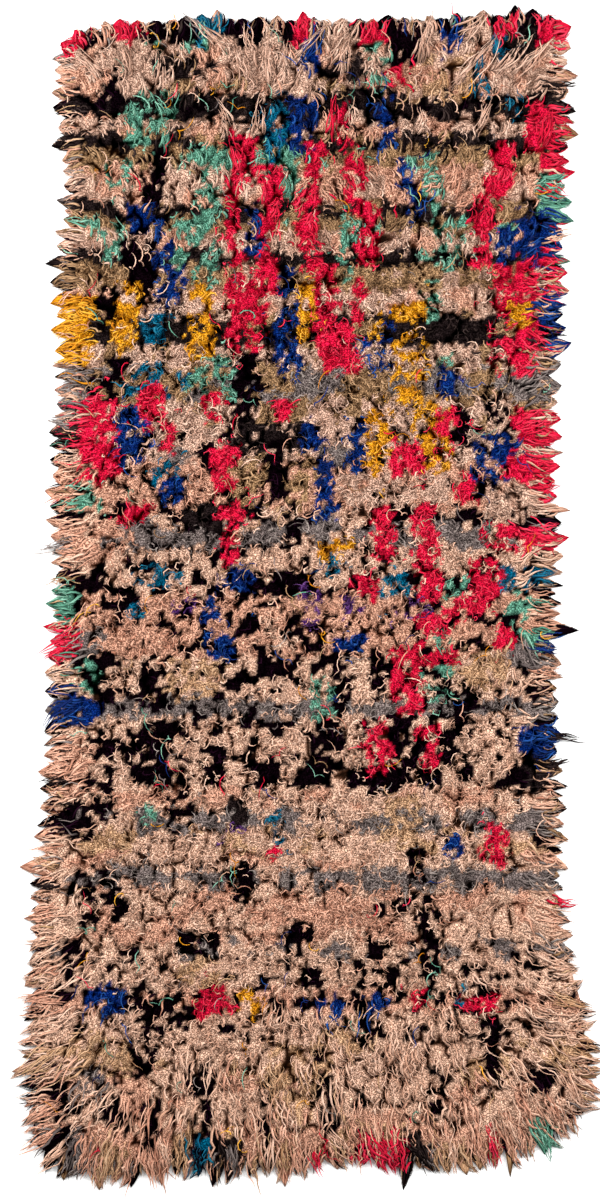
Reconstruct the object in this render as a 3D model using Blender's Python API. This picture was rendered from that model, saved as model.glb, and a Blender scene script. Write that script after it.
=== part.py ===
# A hand-knotted shag rug that lies flat: a woven ground whose pile is a lumpy slab, with loose locks
# of yarn standing out all round its rim. Metres, +Z up, +Y towards the rug's upper end.
# The ground and the pile are woven as one piece, so the rug is one solid.
import math
import random

import bmesh
import bpy
from mathutils import Vector, noise
from mathutils.geometry import delaunay_2d_cdt

# Heights of the pile above the floor
PILE_HEIGHT = 0.034
RIM_HEIGHT = 0.019
TIP_HEIGHT = 0.004
ROLL_OFF = 0.055          # the pile falls from its full height to the rim's over this width
LUMP = 0.0180             # single tufts stand about this much above or below the mean pile
LUMP_SIZE = 0.050
SWELL = 0.0030            # slow rise and fall over the whole rug
SWELL_SIZE = 0.30

# The knotted field, without its rim locks. Across is measured from the centre line, to the right,
# and down from the rug's upper line.
UPPER_EDGE = (
    # across, down
    (-0.450, 0.055),
    (-0.414, 0.034),
    (-0.329, 0.023),
    (-0.196, 0.014),
    (-0.006, 0.019),
    (0.146, 0.020),
    (0.279, 0.012),
    (0.412, 0.006),
    (0.479, 0.007),
    (0.492, 0.028),
)
SIDE_EDGES = (
    # down, left reach, right reach
    (0.086, 0.452, 0.485),
    (0.200, 0.450, 0.491),
    (0.314, 0.438, 0.483),
    (0.390, 0.432, 0.477),
    (0.504, 0.451, 0.475),
    (0.618, 0.438, 0.469),
    (0.770, 0.445, 0.460),
    (0.884, 0.460, 0.457),
    (0.998, 0.449, 0.464),
    (1.112, 0.457, 0.458),
    (1.264, 0.466, 0.462),
    (1.416, 0.460, 0.468),
    (1.530, 0.474, 0.473),
    (1.644, 0.491, 0.472),
    (1.758, 0.501, 0.484),
    (1.872, 0.497, 0.509),
    (1.967, 0.503, 0.537),
    (2.062, 0.500, 0.530),
)
LOWER_EDGE = (
    # across, down
    (0.505, 2.092),
    (0.450, 2.128),
    (0.374, 2.142),
    (0.279, 2.172),
    (0.184, 2.172),
    (0.108, 2.158),
    (0.032, 2.167),
    (-0.100, 2.180),
    (-0.234, 2.172),
    (-0.329, 2.192),
    (-0.424, 2.185),
    (-0.490, 2.170),
)
CORNER_CUTS = 3           # rounds of corner cutting that turn the outline into a smooth line
CUT = 0.25

# The locks round the rim. Widths and gaps are shares of the mean pitch between two locks.
LOCK_COUNT = 224
NARROWEST, WIDEST = 0.42, 1.30
LEAST_GAP, MOST_GAP = 0.10, 0.42
SIDE_LOCK = 0.028         # mean length on the long sides
UPPER_LOCK = 0.014
LOWER_LOCK = 0.034
SHORTEST, LONGEST = 0.55, 1.40
LONG_EVERY = 8            # about one lock in so many is a long one
LONG_STRETCH = 1.70
MOST_LOCK = 0.072
TURN = math.radians(16)   # how far a lock turns away from square to the rim
BEND = math.radians(34)   # how far its tip turns on from there
DRIFT = 0.37              # neighbouring locks turn nearly alike, and this sets how fast that changes
LEAN_START = 0.95         # below this line the side locks lean towards the lower end
LEAN_FULL = 2.00
LEAN = math.radians(26)
MID_WIDTH = 0.60          # a lock's width half way out, as a share of its root
MID_HEIGHT = 0.70
TIP_WIDTH = 0.0025
SEED = 122

# The top of the pile is a net of tufts
TUFT_PITCH = 0.0385
RIM_CLEARANCE = 0.024
NET_CLEARANCE = 0.55      # a net's points stay this share of its pitch clear of the rim
FLOOR_PITCH = 0.16        # the flat underside needs only a coarse net
TWIN_DISTANCE = 1e-7      # points nearer than this would be one point
SHARP_EDGE = math.radians(50)

WOOL = (0.74, 0.52, 0.38)
WOOL_ROUGHNESS = 0.95


def clear_scene():
    for old in list(bpy.data.objects):
        bpy.data.objects.remove(old, do_unlink=True)


def field_corners():
    """The outline's own points, clockwise from the upper left, as (across, up)."""
    points = [(across, -down) for across, down in UPPER_EDGE]
    points += [(right, -down) for down, _left, right in SIDE_EDGES]
    points += [(across, -down) for across, down in LOWER_EDGE]
    points += [(-left, -down) for down, left, _right in reversed(SIDE_EDGES)]
    return [Vector(point) for point in points]


def rounded(points):
    """Corner cutting: each round puts two points on every side, a quarter of the way in from its ends."""
    for _ in range(CORNER_CUTS):
        cut = []
        for here, after in zip(points, points[1:] + points[:1]):
            cut.append(here.lerp(after, CUT))
            cut.append(after.lerp(here, CUT))
        points = cut
    return points


def walked(points, shares):
    """Points at these shares of the way round a closed line."""
    ends = points[1:] + points[:1]
    lengths = [(end - start).length for start, end in zip(points, ends)]
    whole = sum(lengths)
    found = []
    leg = 0
    passed = 0.0
    for share in shares:
        target = share * whole
        while leg < len(points) - 1 and passed + lengths[leg] < target:
            passed += lengths[leg]
            leg += 1
        found.append(points[leg].lerp(ends[leg], (target - passed) / lengths[leg]))
    return found


def rotated(direction, angle):
    return Vector(
        (
            direction.x * math.cos(angle) - direction.y * math.sin(angle),
            direction.x * math.sin(angle) + direction.y * math.cos(angle),
        )
    )


def drift(number, track):
    """A value near -0.5 to 0.5 that changes slowly from one lock to the next."""
    return noise.noise(Vector((number * DRIFT, track, 0.5)))


def lock_plan():
    """One row for each rim lock: its two root points, where it is half way out, and its tip."""
    rng = random.Random(SEED)
    widths = [rng.uniform(NARROWEST, WIDEST) for _ in range(LOCK_COUNT)]
    gaps = [rng.uniform(LEAST_GAP, MOST_GAP) for _ in range(LOCK_COUNT)]
    whole = sum(widths) + sum(gaps)
    shares = []
    passed = 0.0
    for width, gap in zip(widths, gaps):
        shares += [passed / whole, (passed + width) / whole]
        passed += width + gap
    ring = walked(rounded(field_corners()), shares)

    plan = []
    for i in range(LOCK_COUNT):
        start, end = ring[2 * i], ring[2 * i + 1]
        along = (end - start).normalized()
        outward = Vector((-along.y, along.x))
        upward = max(0.0, outward.y)
        downward = max(0.0, -outward.y)
        mean = SIDE_LOCK + (UPPER_LOCK - SIDE_LOCK) * upward + (LOWER_LOCK - SIDE_LOCK) * downward
        length = mean * rng.uniform(SHORTEST, LONGEST)
        if rng.random() < 1 / LONG_EVERY:
            length *= LONG_STRETCH
        half = min(length, MOST_LOCK) / 2
        below = min(1.0, max(0.0, (-start.y - LEAN_START) / (LEAN_FULL - LEAN_START)))
        turn = TURN * drift(i, 1.0) - LEAN * below * outward.x
        middle = (start + end) / 2 + rotated(outward, turn) * half
        tip = middle + rotated(outward, turn + BEND * drift(i, 7.0)) * half
        plan.append((start, end, middle, tip))
    return plan


def centred(plan):
    """The same plan with the centre of the rug and its locks as the origin."""
    points = [point for row in plan for point in row]
    across = [p.x for p in points]
    up = [p.y for p in points]
    centre = Vector(((min(across) + max(across)) / 2, (min(up) + max(up)) / 2))
    return [tuple(point - centre for point in row) for row in plan]


def distance_to(ring, point):
    return min((point - other).length for other in ring)


def inside(ring, point):
    """Even-odd rule."""
    found = False
    for a, b in zip(ring, ring[1:] + ring[:1]):
        if (a.y > point.y) != (b.y > point.y):
            if point.x < a.x + (point.y - a.y) * (b.x - a.x) / (b.y - a.y):
                found = not found
    return found


def net_points(ring, pitch):
    """A staggered net of points inside the ring, clear of it."""
    row_step = pitch * math.sqrt(3) / 2
    clearance = max(RIM_CLEARANCE, pitch * NET_CLEARANCE)
    low_x, high_x = min(p.x for p in ring), max(p.x for p in ring)
    low_y, high_y = min(p.y for p in ring), max(p.y for p in ring)
    rows = int((high_y - low_y) / row_step) + 1
    columns = int((high_x - low_x) / pitch) + 1
    found = []
    for row in range(rows):
        for column in range(columns):
            along = column + (row % 2) / 2
            point = Vector((low_x + along * pitch, low_y + row * row_step))
            if inside(ring, point) and distance_to(ring, point) > clearance:
                found.append(point)
    return found


def pile_height(ring, point):
    """The lumpy top: full height in the field, falling towards the rim."""
    lump = LUMP * noise.noise(Vector((point.x / LUMP_SIZE, point.y / LUMP_SIZE, 3.0)))
    swell = SWELL * noise.noise(Vector((point.x / SWELL_SIZE, point.y / SWELL_SIZE, 8.0)))
    share = min(1.0, distance_to(ring, point) / ROLL_OFF)
    ease = math.sin(share * math.pi / 2)
    return RIM_HEIGHT + (PILE_HEIGHT - RIM_HEIGHT + lump + swell) * ease


def netted(ring, pitch):
    """(points, triangles) of a flat net over the ring's inside. The ring's own points come first."""
    points = ring + net_points(ring, pitch)
    edges = [(i, (i + 1) % len(ring)) for i in range(len(ring))]
    found, _edges, faces, *_ = delaunay_2d_cdt(points, edges, [], 1, TWIN_DISTANCE)
    if len(found) != len(points):
        raise ValueError("the net gained points, so its rim no longer matches the wall")
    return points, faces


def add_net(bm, rim, points, faces, heights, upwards):
    """Faces of a net whose first points are the rim's vertices."""
    inner = [bm.verts.new((p.x, p.y, z)) for p, z in zip(points[len(rim):], heights)]
    verts = rim + inner
    for face in faces:
        corners = [verts[i] for i in face]
        made = bm.faces.new(corners)
        made.normal_update()
        if (made.normal.z > 0) != upwards:
            made.normal_flip()


def grow_lock(bm, wall, middle, tip):
    """Draws a lock out of one wall face: half way, then to its tip. Its underside stays on the floor."""
    centre = wall.calc_center_median().xy
    root = [(vert.co.xy - centre, vert.co.z > RIM_HEIGHT / 2) for vert in wall.verts]
    width = (root[0][0] - root[2][0]).length
    steps = ((middle, MID_WIDTH, RIM_HEIGHT * MID_HEIGHT), (tip, TIP_WIDTH / width, TIP_HEIGHT))
    face = wall
    for place, narrow, height in steps:
        face = bmesh.ops.extrude_discrete_faces(bm, faces=[face])["faces"][0]
        for vert, (offset, is_upper) in zip(face.verts, root):
            spot = place + offset * narrow
            vert.co = (spot.x, spot.y, height if is_upper else 0.0)


def build_rug():
    plan = centred(lock_plan())
    ring = [point for start, end, _middle, _tip in plan for point in (start, end)]

    bm = bmesh.new()
    floor_rim = [bm.verts.new((p.x, p.y, 0.0)) for p in ring]
    upper_rim = [bm.verts.new((p.x, p.y, RIM_HEIGHT)) for p in ring]
    top_points, top_faces = netted(ring, TUFT_PITCH)
    heights = [pile_height(ring, p) for p in top_points[len(ring):]]
    add_net(bm, upper_rim, top_points, top_faces, heights, upwards=True)
    floor_points, floor_faces = netted(ring, FLOOR_PITCH)
    add_net(bm, floor_rim, floor_points, floor_faces, [0.0] * len(floor_points), upwards=False)

    walls = []
    for i in range(len(ring)):
        j = (i + 1) % len(ring)
        walls.append(bm.faces.new((floor_rim[j], floor_rim[i], upper_rim[i], upper_rim[j])))
    for number, (_start, _end, middle, tip) in enumerate(plan):
        grow_lock(bm, walls[2 * number], middle, tip)

    mesh = bpy.data.meshes.new("shag_rug")
    bm.to_mesh(mesh)
    bm.free()
    mesh.shade_smooth()
    mesh.set_sharp_from_angle(angle=SHARP_EDGE)
    rug = bpy.data.objects.new("shag_rug", mesh)
    bpy.context.scene.collection.objects.link(rug)
    return rug


def wool_material():
    wool = bpy.data.materials.new("wool_pile")
    wool.use_nodes = True
    shader = wool.node_tree.nodes["Principled BSDF"]
    shader.inputs["Base Color"].default_value = (*WOOL, 1.0)
    shader.inputs["Roughness"].default_value = WOOL_ROUGHNESS
    shader.inputs["Metallic"].default_value = 0.0
    return wool


clear_scene()
shag_rug = build_rug()
shag_rug.data.materials.append(wool_material())
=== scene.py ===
# %% [markdown]
# A hand-knotted shag rug, seen from straight above. The weaver makes a flat woven ground and ties short
# ends of yarn into it, row by row. Every knot leaves a small tuft, and thousands of tufts make the pile.
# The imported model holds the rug's size and rough form as one lumpy slab with locks round its rim.
# Everything here is laid over that slab, in its own frame, in metres: +Y is the rug's upper end.

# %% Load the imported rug
import math
import random
from functools import partial

import bmesh
import bpy
import numpy as np
from mathutils import Matrix, Vector, noise


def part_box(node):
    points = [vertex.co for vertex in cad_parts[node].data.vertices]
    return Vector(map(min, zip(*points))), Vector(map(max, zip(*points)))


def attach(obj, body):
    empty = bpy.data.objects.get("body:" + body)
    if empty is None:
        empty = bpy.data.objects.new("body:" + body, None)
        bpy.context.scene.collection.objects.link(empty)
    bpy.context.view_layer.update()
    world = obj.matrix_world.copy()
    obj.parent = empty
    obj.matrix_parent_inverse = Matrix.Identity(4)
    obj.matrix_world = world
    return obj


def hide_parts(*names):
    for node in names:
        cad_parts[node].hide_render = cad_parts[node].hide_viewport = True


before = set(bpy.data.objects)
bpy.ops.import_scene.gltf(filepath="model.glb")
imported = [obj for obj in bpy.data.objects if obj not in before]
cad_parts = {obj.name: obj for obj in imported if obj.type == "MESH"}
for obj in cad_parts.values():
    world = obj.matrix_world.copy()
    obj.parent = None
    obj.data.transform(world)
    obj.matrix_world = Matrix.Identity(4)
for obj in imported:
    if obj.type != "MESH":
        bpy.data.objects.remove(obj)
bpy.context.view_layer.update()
RUG = "shag_rug"
CAD_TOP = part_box(RUG)[1].z

# %% [markdown]
# The camera hangs straight over the rug, as the photographer's did. A long lens from far away keeps the
# picture flat, so both ends of the rug are drawn at one scale. The picture's height in metres and the
# distance give the focal length.

# %% Camera
PICTURE = (600, 1198)
METRES_PER_PIXEL = 0.0019
RUG_CENTRE_PIXEL = (305.1, 597.7)
CAMERA_HEIGHT = 12.0
SENSOR = 36.0
FARTHEST = 60.0           # the camera sees nothing beyond this


def make_camera():
    data = bpy.data.cameras.new("camera")
    data.sensor_width = SENSOR
    data.lens = SENSOR * CAMERA_HEIGHT / (PICTURE[1] * METRES_PER_PIXEL)
    data.clip_end = FARTHEST
    camera = bpy.data.objects.new("camera", data)
    bpy.context.scene.collection.objects.link(camera)
    right = (PICTURE[0] / 2 - RUG_CENTRE_PIXEL[0]) * METRES_PER_PIXEL
    up = (RUG_CENTRE_PIXEL[1] - PICTURE[1] / 2) * METRES_PER_PIXEL
    camera.location = (right, up, CAMERA_HEIGHT)
    bpy.context.scene.camera = camera
    return camera


camera = make_camera()
print("lens", round(camera.data.lens, 1), "mm")

# %% [markdown]
# The outline of the knotted field and the plan of the locks round its rim are the same as in the solid,
# so the yarn laid here follows the solid's own locks. Across is measured from the centre line, and down
# from the rug's upper line.

# %% The field's outline and the rim's locks
UPPER_EDGE = (
    # across, down
    (-0.450, 0.055),
    (-0.414, 0.034),
    (-0.329, 0.023),
    (-0.196, 0.014),
    (-0.006, 0.019),
    (0.146, 0.020),
    (0.279, 0.012),
    (0.412, 0.006),
    (0.479, 0.007),
    (0.492, 0.028),
)
SIDE_EDGES = (
    # down, left reach, right reach
    (0.086, 0.452, 0.485),
    (0.200, 0.450, 0.491),
    (0.314, 0.438, 0.483),
    (0.390, 0.432, 0.477),
    (0.504, 0.451, 0.475),
    (0.618, 0.438, 0.469),
    (0.770, 0.445, 0.460),
    (0.884, 0.460, 0.457),
    (0.998, 0.449, 0.464),
    (1.112, 0.457, 0.458),
    (1.264, 0.466, 0.462),
    (1.416, 0.460, 0.468),
    (1.530, 0.474, 0.473),
    (1.644, 0.491, 0.472),
    (1.758, 0.501, 0.484),
    (1.872, 0.497, 0.509),
    (1.967, 0.503, 0.537),
    (2.062, 0.500, 0.530),
)
LOWER_EDGE = (
    # across, down
    (0.505, 2.092),
    (0.450, 2.128),
    (0.374, 2.142),
    (0.279, 2.172),
    (0.184, 2.172),
    (0.108, 2.158),
    (0.032, 2.167),
    (-0.100, 2.180),
    (-0.234, 2.172),
    (-0.329, 2.192),
    (-0.424, 2.185),
    (-0.490, 2.170),
)
CORNER_CUTS = 3
CUT = 0.25
PILE_HEIGHT = 0.034
RIM_HEIGHT = 0.019
ROLL_OFF = 0.055          # the pile has its full height this far inside the rim
LOCK_COUNT = 224
NARROWEST, WIDEST = 0.42, 1.30          # of the locks' shares of the rim
LEAST_GAP, MOST_GAP = 0.10, 0.42        # and of the gaps' shares
SIDE_LOCK = 0.028         # mean lengths
UPPER_LOCK = 0.014
LOWER_LOCK = 0.034
SHORTEST, LONGEST = 0.55, 1.40          # as shares of the mean
LONG_EVERY = 8            # one lock in so many is longer
LONG_STRETCH = 1.70
MOST_LOCK = 0.072
TURN = math.radians(16)   # of a lock at its root
BEND = math.radians(34)   # and on its way out
DRIFT = 0.37
LEAN_START, LEAN_FULL = 0.95, 2.00      # the side locks lean down more and more between these
LEAN = math.radians(26)
LOCK_SEED = 122


def field_corners():
    """The outline's own points, clockwise from the upper left, as (across, up)."""
    points = [(across, -down) for across, down in UPPER_EDGE]
    points += [(right, -down) for down, _left, right in SIDE_EDGES]
    points += [(across, -down) for across, down in LOWER_EDGE]
    points += [(-left, -down) for down, left, _right in reversed(SIDE_EDGES)]
    return [Vector(point) for point in points]


def rounded(points):
    """Corner cutting: each round puts two points on every side, a quarter of the way in from its ends."""
    for _ in range(CORNER_CUTS):
        cut = []
        for here, after in zip(points, points[1:] + points[:1]):
            cut.append(here.lerp(after, CUT))
            cut.append(after.lerp(here, CUT))
        points = cut
    return points


def walked(points, shares):
    """Points at these shares of the way round a closed line."""
    ends = points[1:] + points[:1]
    lengths = [(end - start).length for start, end in zip(points, ends)]
    whole = sum(lengths)
    found = []
    leg = 0
    passed = 0.0
    for share in shares:
        target = share * whole
        while leg < len(points) - 1 and passed + lengths[leg] < target:
            passed += lengths[leg]
            leg += 1
        found.append(points[leg].lerp(ends[leg], (target - passed) / lengths[leg]))
    return found


def rotated(direction, angle):
    return Vector(
        (
            direction.x * math.cos(angle) - direction.y * math.sin(angle),
            direction.x * math.sin(angle) + direction.y * math.cos(angle),
        )
    )


def drift(number, track):
    """A value near -0.5 to 0.5 that changes slowly from one lock to the next."""
    return noise.noise(Vector((number * DRIFT, track, 0.5)))


def lock_plan():
    """One row for each rim lock: its two root points, where it is half way out, and its tip."""
    rng = random.Random(LOCK_SEED)
    widths = [rng.uniform(NARROWEST, WIDEST) for _ in range(LOCK_COUNT)]
    gaps = [rng.uniform(LEAST_GAP, MOST_GAP) for _ in range(LOCK_COUNT)]
    whole = sum(widths) + sum(gaps)
    shares = []
    passed = 0.0
    for width, gap in zip(widths, gaps):
        shares += [passed / whole, (passed + width) / whole]
        passed += width + gap
    ring = walked(rounded(field_corners()), shares)

    plan = []
    for i in range(LOCK_COUNT):
        start, end = ring[2 * i], ring[2 * i + 1]
        along = (end - start).normalized()
        outward = Vector((-along.y, along.x))
        upward = max(0.0, outward.y)
        downward = max(0.0, -outward.y)
        mean = SIDE_LOCK + (UPPER_LOCK - SIDE_LOCK) * upward + (LOWER_LOCK - SIDE_LOCK) * downward
        length = mean * rng.uniform(SHORTEST, LONGEST)
        if rng.random() < 1 / LONG_EVERY:
            length *= LONG_STRETCH
        half = min(length, MOST_LOCK) / 2
        below = min(1.0, max(0.0, (-start.y - LEAN_START) / (LEAN_FULL - LEAN_START)))
        turn = TURN * drift(i, 1.0) - LEAN * below * outward.x
        middle = (start + end) / 2 + rotated(outward, turn) * half
        tip = middle + rotated(outward, turn + BEND * drift(i, 7.0)) * half
        plan.append((start, end, middle, tip))
    return plan


def middle_of(plan):
    """The centre of the rug with its locks. The solid has its origin there."""
    points = [point for row in plan for point in row]
    across = [p.x for p in points]
    up = [p.y for p in points]
    return Vector(((min(across) + max(across)) / 2, (min(up) + max(up)) / 2))


chart_plan = lock_plan()
CENTRE = middle_of(chart_plan)
locks = [tuple(point - CENTRE for point in row) for row in chart_plan]
ring = np.array([point[:] for row in locks for point in row[:2]])
print(len(locks), "rim locks, centre of the rug", [round(v, 4) for v in CENTRE])

# %% [markdown]
# The pile is made of thousands of yarns, so its rules are worked out with numpy, for all of them at once.
# Two helpers are needed everywhere. The first is a value that wanders smoothly over the rug and is the
# same each run. The second is how far a point lies inside the rim. It is worked out once on a coarse
# raster of the floor, and then read between the raster's points.

# %% Smooth noise, and the distance to the rim
LATTICE = 64
LATTICE_SHIFT = 128.0     # keeps the lattice coordinates above zero
RASTER_STEP = 0.008
RASTER_HALF = (0.72, 1.30)
CHUNK = 4000
TINY = 1e-9               # keeps a length that is divided by above zero


def slow_noise(seed, size):
    """A function of x and y that wanders from -1 to 1 over about this size."""
    lattice = np.random.default_rng(seed).uniform(-1, 1, (LATTICE, LATTICE))

    def sample(x, y):
        gx, gy = x / size + LATTICE_SHIFT, y / size + LATTICE_SHIFT
        ix, iy = np.floor(gx).astype(int), np.floor(gy).astype(int)
        fx, fy = gx - ix, gy - iy
        fx, fy = fx * fx * (3 - 2 * fx), fy * fy * (3 - 2 * fy)
        left, right = ix % LATTICE, (ix + 1) % LATTICE
        near, far = (
            lattice[left, row % LATTICE] * (1 - fx) + lattice[right, row % LATTICE] * fx
            for row in (iy, iy + 1)
        )
        return near * (1 - fy) + far * fy

    return sample


def distance_inside(points):
    """How far each point lies inside the ring. Outside it is negative."""
    start, end = ring, np.roll(ring, -1, axis=0)
    leg = end - start
    found = []
    for first in range(0, len(points), CHUNK):
        p = points[first:first + CHUNK, None, :]
        share = np.clip(((p - start) * leg).sum(2) / (leg * leg).sum(1), 0, 1)
        gap = np.linalg.norm(p - (start + leg * share[..., None]), axis=2).min(1)
        crosses = (start[:, 1] > p[..., 1]) != (end[:, 1] > p[..., 1])
        rise = np.where(leg[:, 1] == 0, 1.0, leg[:, 1])
        at = start[:, 0] + (p[..., 1] - start[:, 1]) * leg[:, 0] / rise
        is_inside = (crosses & (p[..., 0] < at)).sum(1) % 2 == 1
        found.append(np.where(is_inside, gap, -gap))
    return np.concatenate(found)


def make_raster():
    xs = np.arange(-RASTER_HALF[0], RASTER_HALF[0], RASTER_STEP)
    ys = np.arange(-RASTER_HALF[1], RASTER_HALF[1], RASTER_STEP)
    grid = np.stack(np.meshgrid(xs, ys, indexing="ij"), axis=2)
    return distance_inside(grid.reshape(-1, 2)).reshape(len(xs), len(ys))


raster = make_raster()


def rim_distance(x, y):
    """The distance inside the rim, read between the raster's points."""
    gx = np.clip((x + RASTER_HALF[0]) / RASTER_STEP, 0, raster.shape[0] - 1.001)
    gy = np.clip((y + RASTER_HALF[1]) / RASTER_STEP, 0, raster.shape[1] - 1.001)
    ix, iy = gx.astype(int), gy.astype(int)
    fx, fy = gx - ix, gy - iy
    near, far = (raster[ix, row] * (1 - fx) + raster[ix + 1, row] * fx for row in (iy, iy + 1))
    return near * (1 - fy) + far * fy


def eased(value, low, high):
    """0 below low, 1 above high, and smooth between."""
    share = np.clip((value - low) / (high - low), 0, 1)
    return share * share * (3 - 2 * share)


def blend(low, high, share):
    return low + (high - low) * share


def going_down(y, start, full):
    """0 above start and 1 below full, both measured down from the rug's upper line."""
    return eased(-(y + CENTRE.y), start, full)


def lower_end(y):
    """1 in the rug's lower end, where the pile is longer and more combed, and 0 above it."""
    return going_down(y, 1.45, 1.90)


def upper_end(y):
    """1 in the rug's upper end, where the pile lies upwards, and 0 below it."""
    return 1 - going_down(y, 0.30, 0.75)


print("raster", raster.shape, "deepest point", round(float(raster.max()), 3), "m inside the rim")

# %% [markdown]
# Worn pile gathers in tufts, each a few knots wide. A tuft is a small dome: high at its middle, with its
# yarns spread over its sides, and gaps round it, some of them open and deep. The matted mass seen in a gap
# is painted dark as shade, nearly black where the gap is open. The tufts stand on a loose grid, longer
# along the rug than across it, so the nearest one is found among the nine around a point.

# %% Tufts
TUFT_PITCH = (0.036, 0.050)
TUFT_SHIFT = 0.42         # how far a tuft is off its grid, as a share of the pitch
TUFT_BEND = 0.016         # the grid of tufts is bent to and fro by this much
BEND_SIZE = 0.045
OPEN_SIZE = 0.055
MORE_OPEN = 0.25          # in the rug's lower end
GAP_EDGE = (0.78, 0.92)   # a gap begins and is fully open at these shares of the way to the next tuft
tuft_shifts = np.random.default_rng(51).uniform(-TUFT_SHIFT, TUFT_SHIFT, (LATTICE, LATTICE, 2))
open_here = slow_noise(52, OPEN_SIZE)
bend_x, bend_y = slow_noise(53, BEND_SIZE), slow_noise(54, BEND_SIZE)


def nearest_tuft(x, y):
    """(offset x, offset y, distance, gap) of each point from the middle of its tuft.

    The gap is 0 in the middle of a tuft and 1 on the line between it and the next one.
    """
    pitch_x, pitch_y = TUFT_PITCH
    x, y = x + TUFT_BEND * bend_x(x, y), y + TUFT_BEND * bend_y(x, y)
    column = np.floor(x / pitch_x + LATTICE_SHIFT).astype(int)
    row = np.floor(y / pitch_y + LATTICE_SHIFT).astype(int)
    near = np.full(np.shape(x), 9.0)
    second = np.full(np.shape(x), 9.0)
    off_x, off_y = np.zeros(np.shape(x)), np.zeros(np.shape(x))
    for aside in (-1, 0, 1):
        for along in (-1, 0, 1):
            shift = tuft_shifts[(column + aside) % LATTICE, (row + along) % LATTICE]
            dx = x - (column + aside - LATTICE_SHIFT + 0.5 + shift[..., 0]) * pitch_x
            dy = y - (row + along - LATTICE_SHIFT + 0.5 + shift[..., 1]) * pitch_y
            distance = np.hypot(dx, dy * pitch_x / pitch_y)
            is_nearer = distance < near
            second = np.where(is_nearer, near, np.minimum(second, distance))
            off_x, off_y = np.where(is_nearer, dx, off_x), np.where(is_nearer, dy, off_y)
            near = np.where(is_nearer, distance, near)
    return off_x, off_y, near, near / second


def open_gap(x, y):
    """How open the gap is at these points: 0 on a tuft or where it is closed, 1 in an open gap."""
    is_open = eased(open_here(x, y) + MORE_OPEN * lower_end(y), -0.20, 0.05)
    return eased(nearest_tuft(x, y)[3], *GAP_EDGE) * is_open


print("about", round(np.sum(raster > 0) * RASTER_STEP ** 2 / math.prod(TUFT_PITCH)), "tufts")

# %% [markdown]
# How the pile lies. Near the rim it is combed outwards, in the rug's lower end downwards, and in the
# middle it is matted. The height follows the solid: full in the field, rolling off to the rim, and down
# to the floor beyond it. Black yarn is worn shorter than the rest, so the other colours overhang it.

# %% The lie and height of the pile
LUMP = 0.0055
LUMP_SIZE = 0.050
DOME = 0.20               # how much lower the pile is between tufts, as a share
DEEPER = 0.28             # and how much more in an open gap
WORN = 0.34               # how much lower the black yarn is
OUTER_FALL = 0.030        # beyond the rim the pile sinks to the floor over about this width
RIM_PULL = 0.075          # how far in the rim combs the pile outwards
LOWER_PULL = 0.14         # and at the rug's lower end
FAN = 1.7                 # how much more the lower end's pile lies to the sides, a metre off its middle
FAN_LEFT = 0.08           # the line that it spreads from, left of the middle
LIE_UP, LIE_MIDDLE, LIE_DOWN = 0.8, 0.25, 0.9    # how strongly the pile lies upwards and downwards
LOOSENESS = (0.9, 0.45)   # how strongly matted and combed pile wanders
COMBED_UP = 0.75          # how combed the upper end is
COMBED_DOWN = (0.40, 0.45)    # and the lower end, with how much its mood changes that
COMBED_RIM = (0.11, 0.22)     # how far in the rim is combed, above and in the lower end
WANDER_SIZE = 0.060
MOOD_SIZE = 0.055         # in the lower end, patches of about this size are combed or matted
lump = slow_noise(31, LUMP_SIZE)
wander_x = slow_noise(32, WANDER_SIZE)
wander_y = slow_noise(33, WANDER_SIZE)
mood = slow_noise(34, MOOD_SIZE)


def pile_top(x, y):
    """The height of the pile over the floor."""
    inside = rim_distance(x, y)
    ease = np.sin(np.clip(inside / ROLL_OFF, 0, 1) * math.pi / 2)
    dome = 1.05 - DOME * eased(nearest_tuft(x, y)[3], 0.5, 1.0) - DEEPER * open_gap(x, y)
    field = (RIM_HEIGHT + (PILE_HEIGHT - RIM_HEIGHT + LUMP * lump(x, y)) * ease) * blend(1.0, dome, ease)
    return np.where(inside > 0, field, RIM_HEIGHT * np.exp(inside / OUTER_FALL))


def way_out(x, y):
    """The direction straight out to the rim, as x and y."""
    step = RASTER_STEP
    out_x = rim_distance(x - step, y) - rim_distance(x + step, y)
    out_y = rim_distance(x, y - step) - rim_distance(x, y + step)
    size = np.hypot(out_x, out_y) + TINY
    return out_x / size, out_y / size


def lie_of(x, y):
    """(direction x, direction y, how combed from 0 to 1) of the pile at these points."""
    out_x, out_y = way_out(x, y)
    inside = rim_distance(x, y)
    downward = going_down(y, 1.55, 2.00)
    upward = upper_end(y)
    pull = np.exp(-np.maximum(inside, 0) / blend(RIM_PULL, LOWER_PULL, downward))
    by_tuft = COMBED_DOWN[0] + COMBED_DOWN[1] * mood(x, y)
    at_rim = 1 - eased(inside, 0.03, blend(*COMBED_RIM, downward))
    combed = np.maximum(at_rim, np.maximum(by_tuft * downward, COMBED_UP * upward))
    loose = blend(*LOOSENESS, combed)
    way_x = pull * out_x + FAN * downward * (x + FAN_LEFT) + loose * wander_x(x, y)
    way_y = pull * out_y + LIE_UP * upward - LIE_MIDDLE * going_down(y, 0.7, 1.3) - LIE_DOWN * downward
    way_y = way_y + loose * wander_y(x, y)
    length = np.hypot(way_x, way_y) + TINY
    return way_x / length, way_y / length, combed


middle_x, middle_y = np.zeros(1), np.zeros(1)
print("the pile's middle is", round(float(pile_top(middle_x, middle_y)[0]), 4), "m high")
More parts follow.
